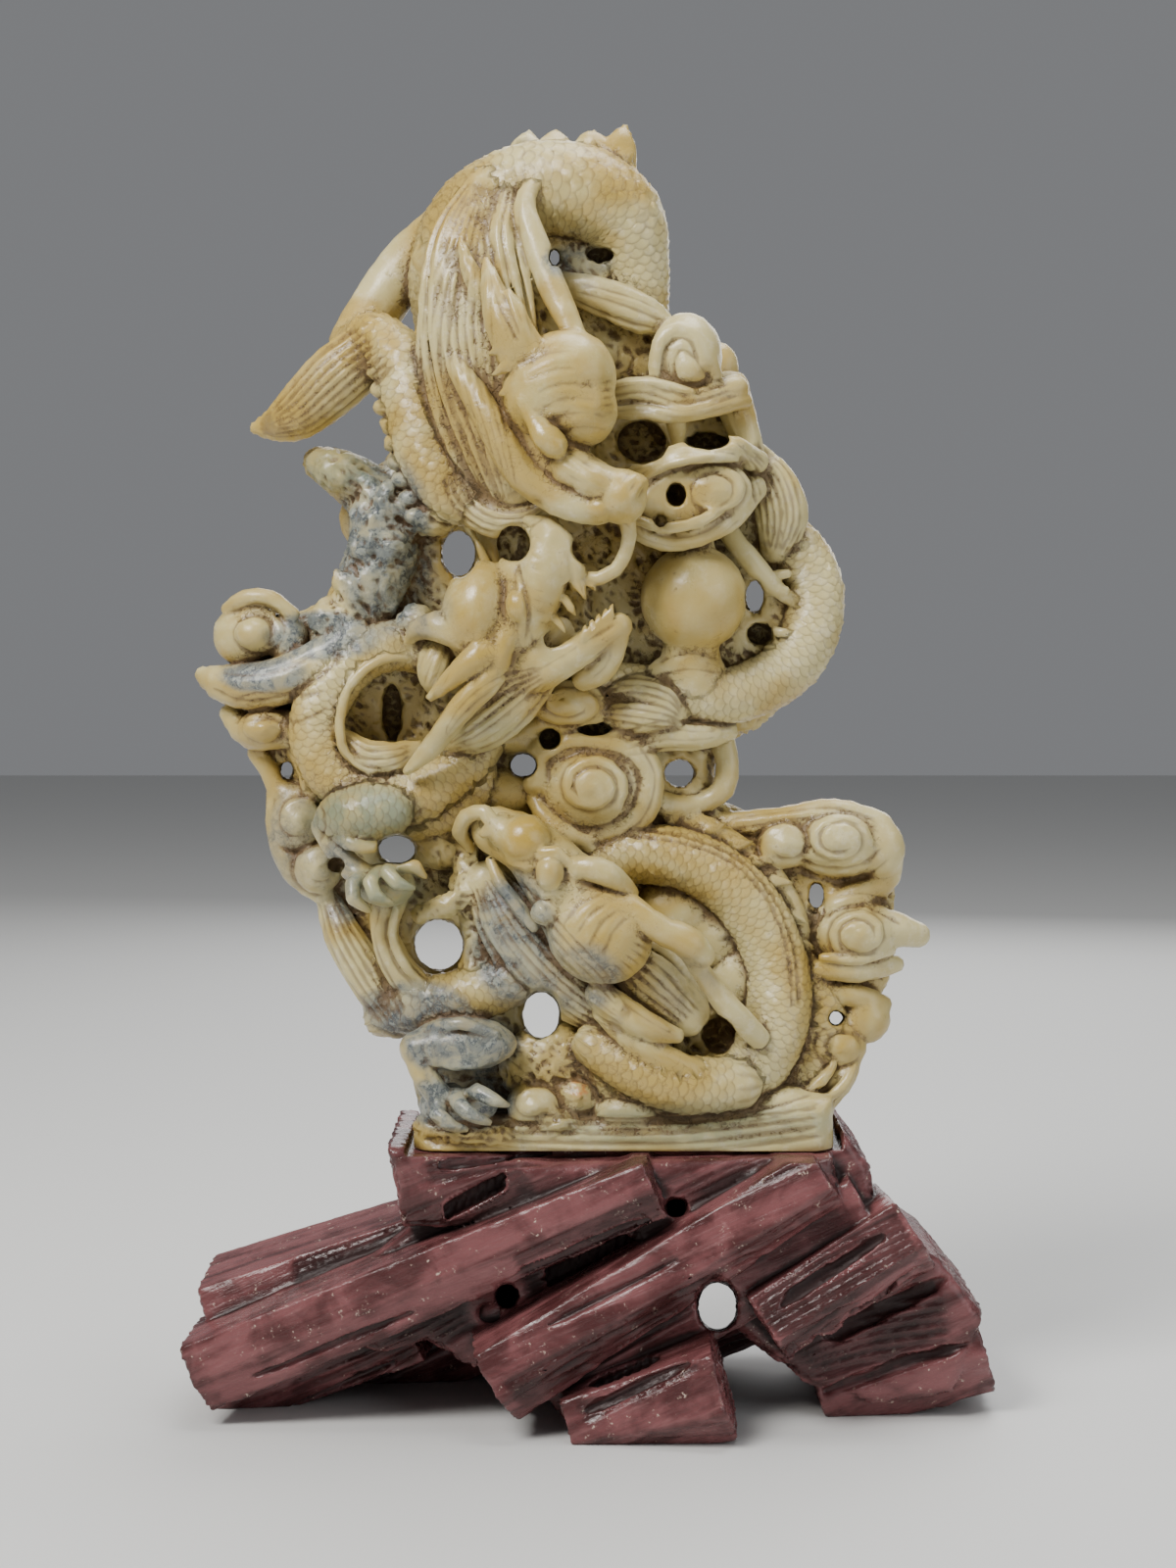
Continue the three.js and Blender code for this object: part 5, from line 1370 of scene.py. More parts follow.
# Drilled grooves and clefts: start, end, radius
PLINTH_GROOVES = [
    ((462, 1232), (508, 1208), 9),
    ((566, 1300), (642, 1264), 10),
    ((612, 1414), (662, 1386), 10),
    ((868, 1346), (906, 1318), 10),
]
PLINTH_CLEFTS = [
    ((790, 1392), (962, 1306), 10), ((842, 1420), (985, 1372), 7), ((800, 1330), (900, 1262), 6),
    ((520, 1306), (660, 1246), 7), ((300, 1436), (400, 1392), 7), ((600, 1440), (700, 1392), 6),
    ((560, 1352), (690, 1286), 4), ((260, 1404), (420, 1340), 4), ((450, 1190), (560, 1176), 5),
]
PLINTH_FURROWS = [
    ([[300, 1426, 14], [390, 1388, 16], [480, 1340, 12]], 4),
    ([[530, 1300, 16], [610, 1264, 18], [690, 1224, 12]], 6),
    ([[772, 1350, 24], [850, 1302, 28], [930, 1258, 24]], 7),
    ([[800, 1392, 20], [880, 1362, 30], [965, 1348, 34]], 7),
    ([[590, 1440, 12], [650, 1408, 14], [710, 1384, 10]], 4),
    ([[436, 1192, 14], [520, 1178, 12], [620, 1168, 8]], 4),
    ([[300, 1300, 18], [420, 1256, 18], [540, 1204, 12]], 6),
    ([[690, 1232, 12], [780, 1190, 14], [850, 1160, 10]], 4),
    ([[520, 1422, 10], [640, 1360, 12], [740, 1310, 10]], 4),
]
FURROW_CUT = {"wide": 4.2, "deep": 0.8}
RING_GAP = 10  # layout units from one turn of the drill to the next
RING_RISE = 4.5  # layout units that a turn is wider than its groove
GROOVE_SINK = 0.6  # millimetres that a groove's middle lies under the surface
CLEFT_SINK = 0.3
CLEFT_STEPS = 8
SEAT_ACROSS = (428, 846)
SEAT_ROW = 1165
SEAT_CLEARANCE = 2.0
SEAT_REACH = 60
STRIATION_TURN = math.radians(24)


def linear(red: float, green: float, blue: float) -> tuple[float, float, float, float]:
    """Turn a colour as seen on a screen, 0 to 255, into a shader colour."""
    def one(value: float) -> float:
        share = value / 255
        return share / 12.92 if share <= 0.04045 else ((share + 0.055) / 1.055)**2.4
    return one(red), one(green), one(blue), 1.0


class Grain:
    """Seeded waves that stand for the roughness of worked stone."""

    def __init__(self, seed: int, short: float, long: float, count: int = 24,
                 axis: tuple = (0, 0, 0), stretch: float = 1.0) -> None:
        """Choose the waves.

        Args:
            seed: seed of the choice.
            short: shortest wave in millimetres.
            long: longest wave in millimetres.
            count: number of waves.
            axis: direction that the waves are stretched along.
            stretch: how many times they are stretched.
        """
        rng = np.random.default_rng(seed)
        way = rng.normal(size=(count, 3))
        way /= np.linalg.norm(way, axis=1, keepdims=True)
        axis = np.array(axis, float)
        way -= np.outer(way @ axis, axis) * (1 - 1 / stretch)
        self.waves = way * 2 * math.pi / np.exp(rng.uniform(math.log(short), math.log(long), count))[:, None]
        self.phase = rng.uniform(0, 2 * math.pi, count)

    def at(self, points: np.ndarray) -> np.ndarray:
        """Read the waves, about -1 to 1, at some places."""
        bend = 0.8 * np.sin(points[:, [1, 2, 0]] * 0.31)
        total = np.zeros(len(points))
        for wave, phase in zip(self.waves, self.phase):
            total += np.sin((points + bend) @ wave + phase)
        return total / math.sqrt(len(self.waves)) / 1.4


def scale_height(along: np.ndarray, around: np.ndarray) -> np.ndarray:
    """Give the height of overlapping scales, 0 to 1.

    Args:
        along: scale lengths along the body.
        around: scale widths round it.

    Returns:
        Heights.
    """
    row = np.floor(along * 2)

    def reach(shift: int) -> np.ndarray:
        k = row - shift
        off = along - k / 2
        side = around - np.mod(k, 2) / 2
        side -= np.round(side)
        return np.sqrt(off**2 + side**2) / 0.66
    near, own = reach(1), reach(0)
    return np.where(near < 1, near, np.minimum(own, 1))


def near_surface(height: np.ndarray) -> np.ndarray:
    """Fade a finish out where other stone covers the limb that it belongs to.

    Args:
        height: millimetres over the limb's own surface.

    Returns:
        Strengths, 0 to 1.
    """
    return np.clip(1.6 - np.abs(height) / 0.8, 0, 1)


def largest(places: np.ndarray, faces: np.ndarray) -> tuple[np.ndarray, np.ndarray]:
    """Keep the largest closed shell.

    Args:
        places: places of the corners.
        faces: corner numbers of the four-sided faces.

    Returns:
        Places and faces of that shell.
    """
    name = np.arange(len(places))
    a, b = faces.ravel(), np.roll(faces, -1, 1).ravel()
    while True:
        low = np.minimum(name[a], name[b])
        before = name.copy()
        np.minimum.at(name, a, low)
        np.minimum.at(name, b, low)
        name = name[name]
        if np.array_equal(before, name):
            break
    most = np.bincount(name).argmax()
    keep = name == most
    fresh = np.cumsum(keep) - 1
    return places[keep], fresh[faces[keep[faces[:, 0]]]]


def make_mesh(name: str, places: np.ndarray, faces: np.ndarray) -> bpy.types.Mesh:
    """Make a mesh from places in millimetres.

    Args:
        name: the mesh's name.
        places: places in millimetres.
        faces: corner numbers, all faces with as many corners.

    Returns:
        The mesh in metres.
    """
    mesh = bpy.data.meshes.new(name)
    sides = faces.shape[1]
    mesh.vertices.add(len(places))
    mesh.vertices.foreach_set("co", (places * MM).astype(np.float32).ravel())
    mesh.loops.add(faces.size)
    mesh.loops.foreach_set("vertex_index", faces.astype(np.int32).ravel())
    mesh.polygons.add(len(faces))
    mesh.polygons.foreach_set("loop_start", np.arange(0, faces.size, sides, dtype=np.int32))
    mesh.update(calc_edges=True)
    mesh.validate()
    return mesh


def thinned(mesh: bpy.types.Mesh, name: str, most: int) -> bpy.types.Mesh:
    """Thin a mesh to a number of triangles where it is flattest.

    Args:
        mesh: the fine mesh.
        name: name of the result.
        most: most triangles wanted.

    Returns:
        The thinned mesh of triangles.
    """
    held = bpy.data.objects.new(f"{name}_fine", mesh)
    bpy.context.scene.collection.objects.link(held)
    thin = held.modifiers.new("Thin", "DECIMATE")
    thin.ratio = min(1.0, most / (2 * len(mesh.polygons)))
    thin.use_collapse_triangulate = True
    graph = bpy.context.evaluated_depsgraph_get()
    result = bpy.data.meshes.new_from_object(held.evaluated_get(graph))
    result.name = name
    bpy.data.objects.remove(held)
    bpy.data.meshes.remove(mesh)
    return result


def mend(mesh: bpy.types.Mesh) -> int:
    """Weld crumbs away and part the corners where two sheets of stone only touch.

    Args:
        mesh: the mesh to mend.

    Returns:
        Number of edges that still don't have two faces.
    """
    work = bmesh.new()
    work.from_mesh(mesh)
    bmesh.ops.dissolve_degenerate(work, edges=work.edges, dist=1e-6)
    for _ in range(MEND_ROUNDS):
        bad = [e for e in work.edges if len(e.link_faces) != 2]
        if not bad:
            break
        around = {f for e in bad for f in e.link_faces}
        bmesh.ops.delete(work, geom=list(around), context="FACES")
        rim = [e for e in work.edges if len(e.link_faces) == 1]
        bmesh.ops.holes_fill(work, edges=rim, sides=0)
        loose = [v for v in work.verts if not v.link_faces]
        bmesh.ops.delete(work, geom=loose, context="VERTS")
    bmesh.ops.triangulate(work, faces=[f for f in work.faces if len(f.verts) > 3])
    left = sum(len(e.link_faces) != 2 for e in work.edges)
    work.to_mesh(mesh)
    work.free()
    return left


class Socket:
    """A shader socket that can be reckoned with."""

    def __init__(self, graph: "Graph", socket) -> None:
        """Wrap a socket of a graph."""
        self.graph, self.socket = graph, socket

    def _do(self, operation: str, *values) -> "Socket":
        return self.graph.maths(operation, *values)

    def __add__(self, other) -> "Socket":
        return self._do("ADD", self, other)

    __radd__ = __add__

    def __sub__(self, other) -> "Socket":
        return self._do("SUBTRACT", self, other)

    def __rsub__(self, other) -> "Socket":
        return self._do("SUBTRACT", other, self)

    def __mul__(self, other) -> "Socket":
        return self._do("MULTIPLY", self, other)

    __rmul__ = __mul__

    def __truediv__(self, other) -> "Socket":
        return self._do("DIVIDE", self, other)

    def __rtruediv__(self, other) -> "Socket":
        return self._do("DIVIDE", other, self)

    def __mod__(self, other) -> "Socket":
        return self._do("FLOORED_MODULO", self, other)

    def __rmod__(self, other) -> "Socket":
        return self._do("FLOORED_MODULO", other, self)

    def __abs__(self) -> "Socket":
        return self._do("ABSOLUTE", self)

    def floor(self) -> "Socket":
        """Round down."""
        return self._do("FLOOR", self)

    def smaller(self, other) -> "Socket":
        """Give the smaller of two values."""
        return self._do("MINIMUM", self, other)

    def below(self, other) -> "Socket":
        """Give 1 where this is below the other value."""
        return self._do("LESS_THAN", self, other)

    def ramp(self, low: float, high: float, to_low: float = 0.0, to_high: float = 1.0) -> "Socket":
        """Map a range of values softly to another.

        Args:
            low: value that gives to_low.
            high: value that gives to_high.
            to_low: result at the low end.
            to_high: result at the high end.

        Returns:
            The mapped value.
        """
        return self.graph.node("ShaderNodeMapRange", {"interpolation_type": "SMOOTHSTEP"},
                               {0: self, 1: low, 2: high, 3: to_low, 4: to_high})[0]


class Graph:
    """The nodes of one material."""

    def __init__(self, name: str) -> None:
        """Start an empty material.

        Args:
            name: the material's name.
        """
        self.material = bpy.data.materials.new(name)
        self.material.use_nodes = True
        self.tree = self.material.node_tree
        self.tree.nodes.clear()

    def node(self, kind: str, settings: dict = None, inputs: dict = None) -> list[Socket]:
        """Make a node.

        Args:
            kind: the node's type.
            settings: its settings.
            inputs: values or sockets for its inputs, by number or name.

        Returns:
            Its enabled outputs, or all of them where none is enabled.
        """
        made = self.tree.nodes.new(kind)
        for key, value in (settings or {}).items():
            setattr(made, key, value)
        for key, value in (inputs or {}).items():
            if isinstance(value, Socket):
                self.tree.links.new(value.socket, made.inputs[key])
            else:
                made.inputs[key].default_value = value
        return [Socket(self, out) for out in made.outputs if out.enabled] or \
               [Socket(self, out) for out in made.outputs]

    def maths(self, operation: str, *values) -> Socket:
        """Make a maths node."""
        return self.node("ShaderNodeMath", {"operation": operation}, dict(enumerate(values)))[0]

    def mix(self, share, one, other) -> Socket:
        """Mix two colours.

        Args:
            share: share of the second colour.
            one: first colour.
            other: second colour.

        Returns:
            The mixed colour.
        """
        return self.node("ShaderNodeMix", {"data_type": "RGBA", "clamp_factor": True},
                         {0: share, 6: one, 7: other})[0]

    def noise(self, where: Socket, scale: float, detail: float = 3.0, rough: float = 0.55,
              bend: float = 0.0) -> Socket:
        """Read a noise pattern, about 0 to 1.

        Args:
            where: place in millimetres.
            scale: size of its features in millimetres.
            detail: octaves.
            rough: strength of the finer octaves.
            bend: distortion.

        Returns:
            The noise.
        """
        return self.node("ShaderNodeTexNoise", {}, {
            "Vector": where, "Scale": 1 / scale, "Detail": detail, "Roughness": rough, "Distortion": bend,
        })[0]

    def vector(self, operation: str, *values) -> Socket:
        """Make a vector maths node."""
        return self.node("ShaderNodeVectorMath", {"operation": operation}, dict(enumerate(values)))[0]

    def attribute(self, name: str) -> list[Socket]:
        """Read an attribute of the piece as three values."""
        made = self.node("ShaderNodeAttribute", {"attribute_name": name})
        return self.node("ShaderNodeSeparateXYZ", {}, {0: made[1]})

    def place(self) -> Socket:
        """Give the place on the piece in millimetres."""
        where = self.node("ShaderNodeTexCoord")[3]
        return self.vector("MULTIPLY", where, (1 / MM, 1 / MM, 1 / MM))

    def finish(self, values: dict, height: Socket, depth: float) -> bpy.types.Material:
        """Close the material with its surface.

        Args:
            values: inputs of the surface by name.
            height: bump height, 0 to 1.
            depth: millimetres of bump at height 1.

        Returns:
            The material.
        """
        bump = self.node("ShaderNodeBump", {}, {"Strength": 1.0, "Distance": depth * MM, "Height": height})[0]
        surface = self.node("ShaderNodeBsdfPrincipled", {}, {**values, "Normal": bump})[0]
        self.node("ShaderNodeOutputMaterial", {}, {"Surface": surface})
        return self.material


@dataclass(frozen=True)
class Soapstone:
    """Cream soapstone with honey polish, grey mottling, and brown dirt and painted shade in the recesses."""

    pale: tuple = (200, 187, 133)
    warm: tuple = (178, 153, 84)
    milk: tuple = (216, 206, 170)
    honey: tuple = (176, 145, 56)
    grey: tuple = (134, 142, 138)
    vein: tuple = (52, 60, 68)
    green: tuple = (108, 126, 108)
    # Brown that stands for real dirt and for painted shade in recesses, creases and the grooves between
    # scales; also the colour of the specks.
    dirt_and_shade: tuple = (98, 72, 40)
    stain: tuple = (186, 104, 34)

    def scales(self, graph: Graph, along: Socket, around: Socket) -> Socket:
        """Draw overlapping scales as a height."""
        row = (along * 2.0).floor()

        def reach(shift: float) -> Socket:
            k = row - shift
            off = along - k * 0.5
            side = around - (k % 2.0) * 0.5
            side = side - (side + 0.5).floor()
            return graph.maths("SQRT", off * off + side * side) / 0.66
        near, own = reach(1.0), reach(0.0).smaller(1.0)
        first = near.below(1.0)
        return near * first + own * (1.0 - first)

    def make(self) -> bpy.types.Material:
        """Make the material."""
        g = Graph("carving_stone")
        where = g.place()
        grey, green, honey = g.attribute("zone")
        stain, crowd, groove = g.attribute("stain_and_cavity")
        along, around, scaly = g.attribute("skin")
        broad = g.noise(where, 26.0, 3.0, 0.55, 0.4)
        mottle = g.noise(where, 7.0, 4.0, 0.6, 0.8)
        cloud = g.noise(where, 3.2, 4.0, 0.65)
        fine = g.noise(where, 0.9, 3.0, 0.6)
        proud = crowd.ramp(0.5, 0.34)
        colour = g.mix(broad.ramp(0.38, 0.62), linear(*self.pale), linear(*self.warm))
        milk = cloud.ramp(0.5, 0.64) * broad.ramp(0.56, 0.4)
        colour = g.mix(milk * 0.45, colour, linear(*self.milk))
        colour = g.mix(honey * mottle.ramp(0.3, 0.62, 0.35, 1.0) * (proud * 0.5 + 0.4), colour,
                       linear(*self.honey))
        spread = (grey + (broad - 0.5) * 1.1).ramp(0.25, 0.85)
        colour = g.mix(spread * mottle.ramp(0.3, 0.6, 0.5, 0.9), colour, linear(*self.grey))
        thread = abs(cloud - 0.5).ramp(0.07, 0.0)
        veined = thread * 0.7 + cloud.ramp(0.4, 0.66) * 0.6
        colour = g.mix(spread * mottle.ramp(0.36, 0.62) * veined, colour, linear(*self.vein))
        colour = g.mix(green * mottle.ramp(0.3, 0.6, 0.4, 0.85), colour, linear(*self.green))
        colour = g.mix(stain * cloud.ramp(0.4, 0.6) * 0.8, colour, linear(*self.stain))
        # Painted shade, partly real dirt: recesses, narrow creases and engraved lines are darkened towards
        # the brown.
        recess = (crowd + (mottle - 0.5) * 0.16).ramp(0.52, 0.76)
        worn = (crowd + (mottle - 0.5) * 0.34).ramp(0.47, 0.64)
        pits = g.noise(where, 1.3, 3.0, 0.55, 0.6).ramp(0.52, 0.62) * worn
        net = abs(g.noise(where, 2.6, 2.0, 0.5, 0.5) - 0.5).ramp(0.028, 0.0)
        net = net * (crowd + (broad - 0.5) * 1.1).ramp(0.44, 0.6)
        crease_shade = (groove + (cloud - 0.5) * 0.16).ramp(0.53, 0.7)
        dirt_and_shade_share = (recess * 0.42 + pits * 0.42 + crease_shade * 0.55 + net * 0.4).smaller(0.88)
        colour = g.mix(dirt_and_shade_share, colour, linear(*self.dirt_and_shade))
        speck = cloud.ramp(0.64, 0.72) * fine.ramp(0.45, 0.6)
        colour = g.mix(speck * 0.35, colour, linear(*self.dirt_and_shade))
        scale = self.scales(g, along, around)
        # The grooves between scales are darkened towards the same brown: dirt and painted shade.
        colour = g.mix(scaly * scale.ramp(0.72, 1.0) * 0.34, colour, linear(*self.dirt_and_shade))
        rough = mottle.ramp(0.3, 0.7, 0.24, 0.4) + recess * 0.35 + fine * 0.08 - honey * proud * 0.08
        height = scaly * (1.0 - scale) * 0.5 + cloud * 0.22 + fine * 0.16 - speck * 0.2 - pits * 0.6
        return g.finish({
            "Base Color": colour, "Roughness": rough.smaller(0.9), "Coat Weight": proud * 0.2 + 0.05,
            "Coat Roughness": 0.25, "Subsurface Weight": 0.1, "Subsurface Radius": (1.0, 0.85, 0.5),
            "Subsurface Scale": 0.002, "IOR": 1.5,
        }, height, 0.55)


@dataclass(frozen=True)
class PlinthStone:
    """Mauve-brown stone with pale specks, streaked along its bars, and painted shade in its recesses and
    furrows.
    """

    mauve: tuple = (120, 74, 75)
    brown: tuple = (72, 39, 39)
    pale: tuple = (150, 106, 105)
    speck: tuple = (206, 188, 172)
    # Near-black painted shade for recesses, narrow creases and engraved furrows.
    painted_shade: tuple = (30, 14, 12)

    def make(self) -> bpy.types.Material:
        """Make the material."""
        g = Graph("plinth_stone")
        where = g.place()
        _, crowd, groove = g.attribute("stain_and_cavity")
        turned = g.node("ShaderNodeVectorRotate", {"rotation_type": "Y_AXIS"},
                        {"Vector": where, "Angle": STRIATION_TURN})[0]
        streak_place = g.vector("MULTIPLY", turned, (0.1, 0.9, 1.0))
        streak = g.noise(streak_place, 1.5, 4.0, 0.6, 0.3)
        band = g.noise(streak_place, 5.0, 3.0, 0.5, 0.5)
        patch = g.noise(where, 14.0, 4.0, 0.6, 0.6)
        cloud = g.noise(where, 3.0, 4.0, 0.65, 0.4)
        fine = g.noise(where, 0.7, 3.0, 0.65)
        colour = g.mix((patch * 0.5 + band * 0.5).ramp(0.4, 0.6), linear(*self.brown), linear(*self.mauve))
        colour = g.mix(streak.ramp(0.54, 0.72) * 0.3, colour, linear(*self.pale))
        colour = g.mix(cloud.ramp(0.6, 0.68) * fine.ramp(0.5, 0.6) * 0.75, colour, linear(*self.speck))
        colour = g.mix(patch.ramp(0.66, 0.74) * cloud.ramp(0.46, 0.6) * 0.5, colour, linear(*self.pale))
        # Painted shade: recesses, narrow creases and engraved furrows are darkened towards near-black.
        recess = (crowd + (cloud - 0.5) * 0.16).ramp(0.56, 0.78)
        crease_shade = (groove + (streak - 0.5) * 0.24).ramp(0.52, 0.7)
        colour = g.mix((recess * 0.75 + crease_shade * 0.55).smaller(0.9), colour, linear(*self.painted_shade))
        rough = (streak.ramp(0.3, 0.7, 0.15, 0.3) + recess * 0.35 + fine * 0.08).smaller(0.9)
        height = streak * 0.4 + cloud * 0.1 + fine * 0.12
        return g.finish({"Base Color": colour, "Roughness": rough, "IOR": 1.42}, height, 0.6)


@dataclass
class CarvedPiece:
    """One piece of worked stone.

    Args:
        name: name of the piece and of the CAD node that it stands for.
        slot: the record's material slot, not used.
        most: most triangles.
        step: spacing of the field in millimetres.
    """

    name: str
    slot: str
    most: int
    step: float

    def sight(self) -> Sight:
        """Give the piece's layout."""
        raise NotImplementedError

    def joined(self) -> list:
        """List the strokes of stone."""
        raise NotImplementedError

    def removed(self) -> list:
        """List what is cut away."""
        raise NotImplementedError

    def drilled(self, stone: Stone) -> list:
        """List the cuts that follow the surface."""
        return []

    def trim(self, stone: Stone) -> None:
        """Cut the flat faces."""
        raise NotImplementedError

    def relief(self, stone: Stone, places: np.ndarray) -> np.ndarray:
        """Give the height of the worked surface in millimetres."""
        raise NotImplementedError

    def skin(self, stone: Stone, places: np.ndarray) -> np.ndarray:
        """Give the unrolled scale lengths, scale widths and the strength of scales."""
        out = np.zeros((len(places), 3))
        owner = stone.owner[stone.index_of(places)]
        for number in np.unique(owner):
            if number == 0 or stone.strokes[number - 1].skin is not Skin.SCALES:
                continue
            stroke = stone.strokes[number - 1]
            mine = np.nonzero(owner == number)[0]
            run = stroke.skin_at(places[mine])
            out[mine, :2] = run[:, :2] / stroke.pitch
            out[mine, 2] = near_surface(run[:, 2])
        return out

    def engraved(self, stone: Stone, places: np.ndarray, outward: np.ndarray) -> np.ndarray:
        """Give the depth of the engraved lines in millimetres."""
        layout = self.layout_of(places)
        return sum(Engraving(stone.grooves, side).at(layout, outward[:, 1]) for side in (-1, 1))

    def zones(self, places: np.ndarray) -> np.ndarray:
        """Give the strengths of grey, green, honey and stain."""
        return np.zeros((len(places), 4))

    def layout_of(self, places: np.ndarray) -> np.ndarray:
        """Find where some places stand in the layout.

        Args:
            places: places in millimetres.

        Returns:
            Layout units across and down, and depth.
        """
        sight = self.sight()
        deep = places[:, 1] + ORIGIN[1]
        up = LAYOUT_SEAT + (places[:, 2] - sight.seat) / sight.tall - EYE_HEIGHT
        away = (deep + EYE_DISTANCE) * math.cos(PITCH) - up * math.sin(PITCH)
        rise = (deep + EYE_DISTANCE) * math.sin(PITCH) + up * math.cos(PITCH)
        return np.stack([CENTRE[0] + FOCAL * (places[:, 0] + ORIGIN[0]) / away,
                         CENTRE[1] - FOCAL * rise / away, deep], 1)

    def build(self) -> bpy.types.Object:
        """Carve the piece.

        Returns:
            Its object.
        """
        lo, hi = box_of(self.name)
        stone = Stone(lo - ROOM, hi + ROOM, self.step)
        sight = self.sight()
        for stroke in self.joined():
            if isinstance(stroke, Groove):
                stone.grooves.append(stroke)
            else:
                stone.join(stroke, sight)
        for stroke in self.removed():
            stone.cut(stroke, sight)
        for stroke in self.drilled(stone):
            stone.cut(stroke, sight)
        self.trim(stone)
        for axis in range(3):
            for end in (0, -1):
                edge = [slice(None)] * 3
                edge[axis] = end
                stone.value[tuple(edge)] = FAR
        places, faces = largest(*stone.shell())
        for _ in range(SETTLE_ROUNDS):
            error = stone.sample(stone.value, places)[:, None]
            places = places - stone.gradient(places) * error * SETTLE_SHARE
        outward = stone.gradient(places)
        height = self.relief(stone, places) - self.engraved(stone, places, outward)
        fine = places + outward * height[:, None]
        mesh = thinned(make_mesh(self.name, fine, faces), self.name, self.most)
        left = mend(mesh)
        self.mark(mesh, stone)
        mesh.polygons.foreach_set("use_smooth", [True] * len(mesh.polygons))
        piece = bpy.data.objects.new(self.name, mesh)
        bpy.context.scene.collection.objects.link(piece)
        LOG.info("%s: %d strokes, %d fine faces, %d triangles, %d open edges", self.name,
                 len(stone.strokes), len(faces), len(mesh.polygons), left)
        return piece

    def mark(self, mesh: bpy.types.Mesh, stone: Stone) -> None:
        """Store what the finish needs at each corner.

        Args:
            mesh: the finished mesh.
            stone: the field it was cut from.
        """
        places = np.empty(3 * len(mesh.vertices), np.float32)
        mesh.vertices.foreach_get("co", places)
        places = places.reshape(-1, 3).astype(float) / MM
        zones = self.zones(places)
        cut = self.engraved(stone, places, stone.gradient(places))
        # Stain strength and two measures of how hollow each place is; the finishes darken hollows and
        # engraved lines with them, as dirt and painted shade.
        stain_and_cavity = np.stack([zones[:, 3], stone.sample(stone.crowding(WIDE_CROWD), places),
                         stone.sample(stone.crowding(NEAR_CROWD), places) + LINE_DIRT_AND_SHADE * cut], 1)
        for name, values in (("zone", zones[:, :3]), ("stain_and_cavity", stain_and_cavity), ("skin", self.skin(stone, places))):
            layer = mesh.attributes.new(name, "FLOAT_VECTOR", "POINT")
            layer.data.foreach_set("vector", values.astype(np.float32).ravel())

    def dress(self, piece: bpy.types.Object, material: bpy.types.Material) -> None:
        """Give the piece its finish and its place in the frame.

        Args:
            piece: the object.
            material: its finish.
        """
        piece.data.materials.append(material)
        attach(piece, "root")
        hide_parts(self.name)


@dataclass
class DragonCarving(CarvedPiece):
    """The carving of three dragons among clouds."""

    name: str = "dragon_carving"
    slot: str = "carving_stone"
    most: int = 194000
    step: float = 0.55

    def sight(self) -> Sight:
        """Give the piece's layout, seated and as tall as the CAD node."""
        lo, hi = box_of(self.name)
        return Sight(lo[2], (hi[2] - lo[2]) / LAYOUT_TOP)

    def joined(self) -> list:
        """List the strokes of stone, the web first."""
        return [Web(WEB, *WEB_DEPTHS, WEB_EDGE), *back_side(), *left_rock(), *upper_dragon(), *pearl_group(),
                *middle_dragon(), *middle_clouds(), *lower_dragon(), *right_clouds()]

    def removed(self) -> list:
        """List the drilled holes."""
        return [Drill((a, d), (w, t)) for a, d, w, t in THROUGH_HOLES] + \
               [Drill((a, d), (w, t), back=end) for a, d, w, t, end in BLIND_HOLES] + \
               [Limb(rows, blend=0.4) for rows in MOUTHS]

    def trim(self, stone: Stone) -> None:
        """Cut the underside flat."""
        stone.cut_under(box_of(self.name)[0][2])

    def relief(self, stone: Stone, places: np.ndarray) -> np.ndarray:
        """Give the height of scales, hair and hand work."""
        skin = self.skin(stone, places)
        height = skin[:, 2] * (0.5 - scale_height(skin[:, 0], skin[:, 1])) * SCALE_RELIEF
        height += Grain(3, 3.0, 9.0).at(places) * HAND_RELIEF
        owner = stone.owner[stone.index_of(places)]
        rough = Grain(4, 1.8, 6.0, 30).at(places)
        for number in np.unique(owner):
            if number == 0:
                continue
            stroke = stone.strokes[number - 1]
            mine = np.nonzero(owner == number)[0]
            if stroke.skin is Skin.HAIR:
                run = stroke.skin_at(places[mine])
                wave = np.sqrt(np.abs(np.sin(run[:, 1] * math.pi / HAIR_PITCH))) - 0.7
                height[mine] += near_surface(run[:, 2]) * HAIR_RELIEF * wave
            elif stroke.skin is Skin.ROCK:
                height[mine] += ROCK_RELIEF * (0.3 - np.abs(rough[mine]))
        return height * np.clip((places[:, 2] - box_of(self.name)[0][2] - FOOT_CLEAR) / FOOT_FADE, 0, 1)

    def zones(self, places: np.ndarray) -> np.ndarray:
        """Give the strengths of grey, green, honey and stain."""
        at = self.layout_of(places)
        front = 0.25 + 0.75 * np.clip((8 - at[:, 2]) / 10, 0, 1)
        out = np.zeros((len(places), 4))
        for k, spots in enumerate((GREY, GREEN, HONEY, STAIN)):
            for across, down, wide, tall, strength in spots:
                near = ((at[:, 0] - across) / wide)**2 + ((at[:, 1] - down) / tall)**2
                out[:, k] = np.maximum(out[:, k], strength * np.clip(1.5 - near, 0, 1))
            out[:, k] *= front
        return out


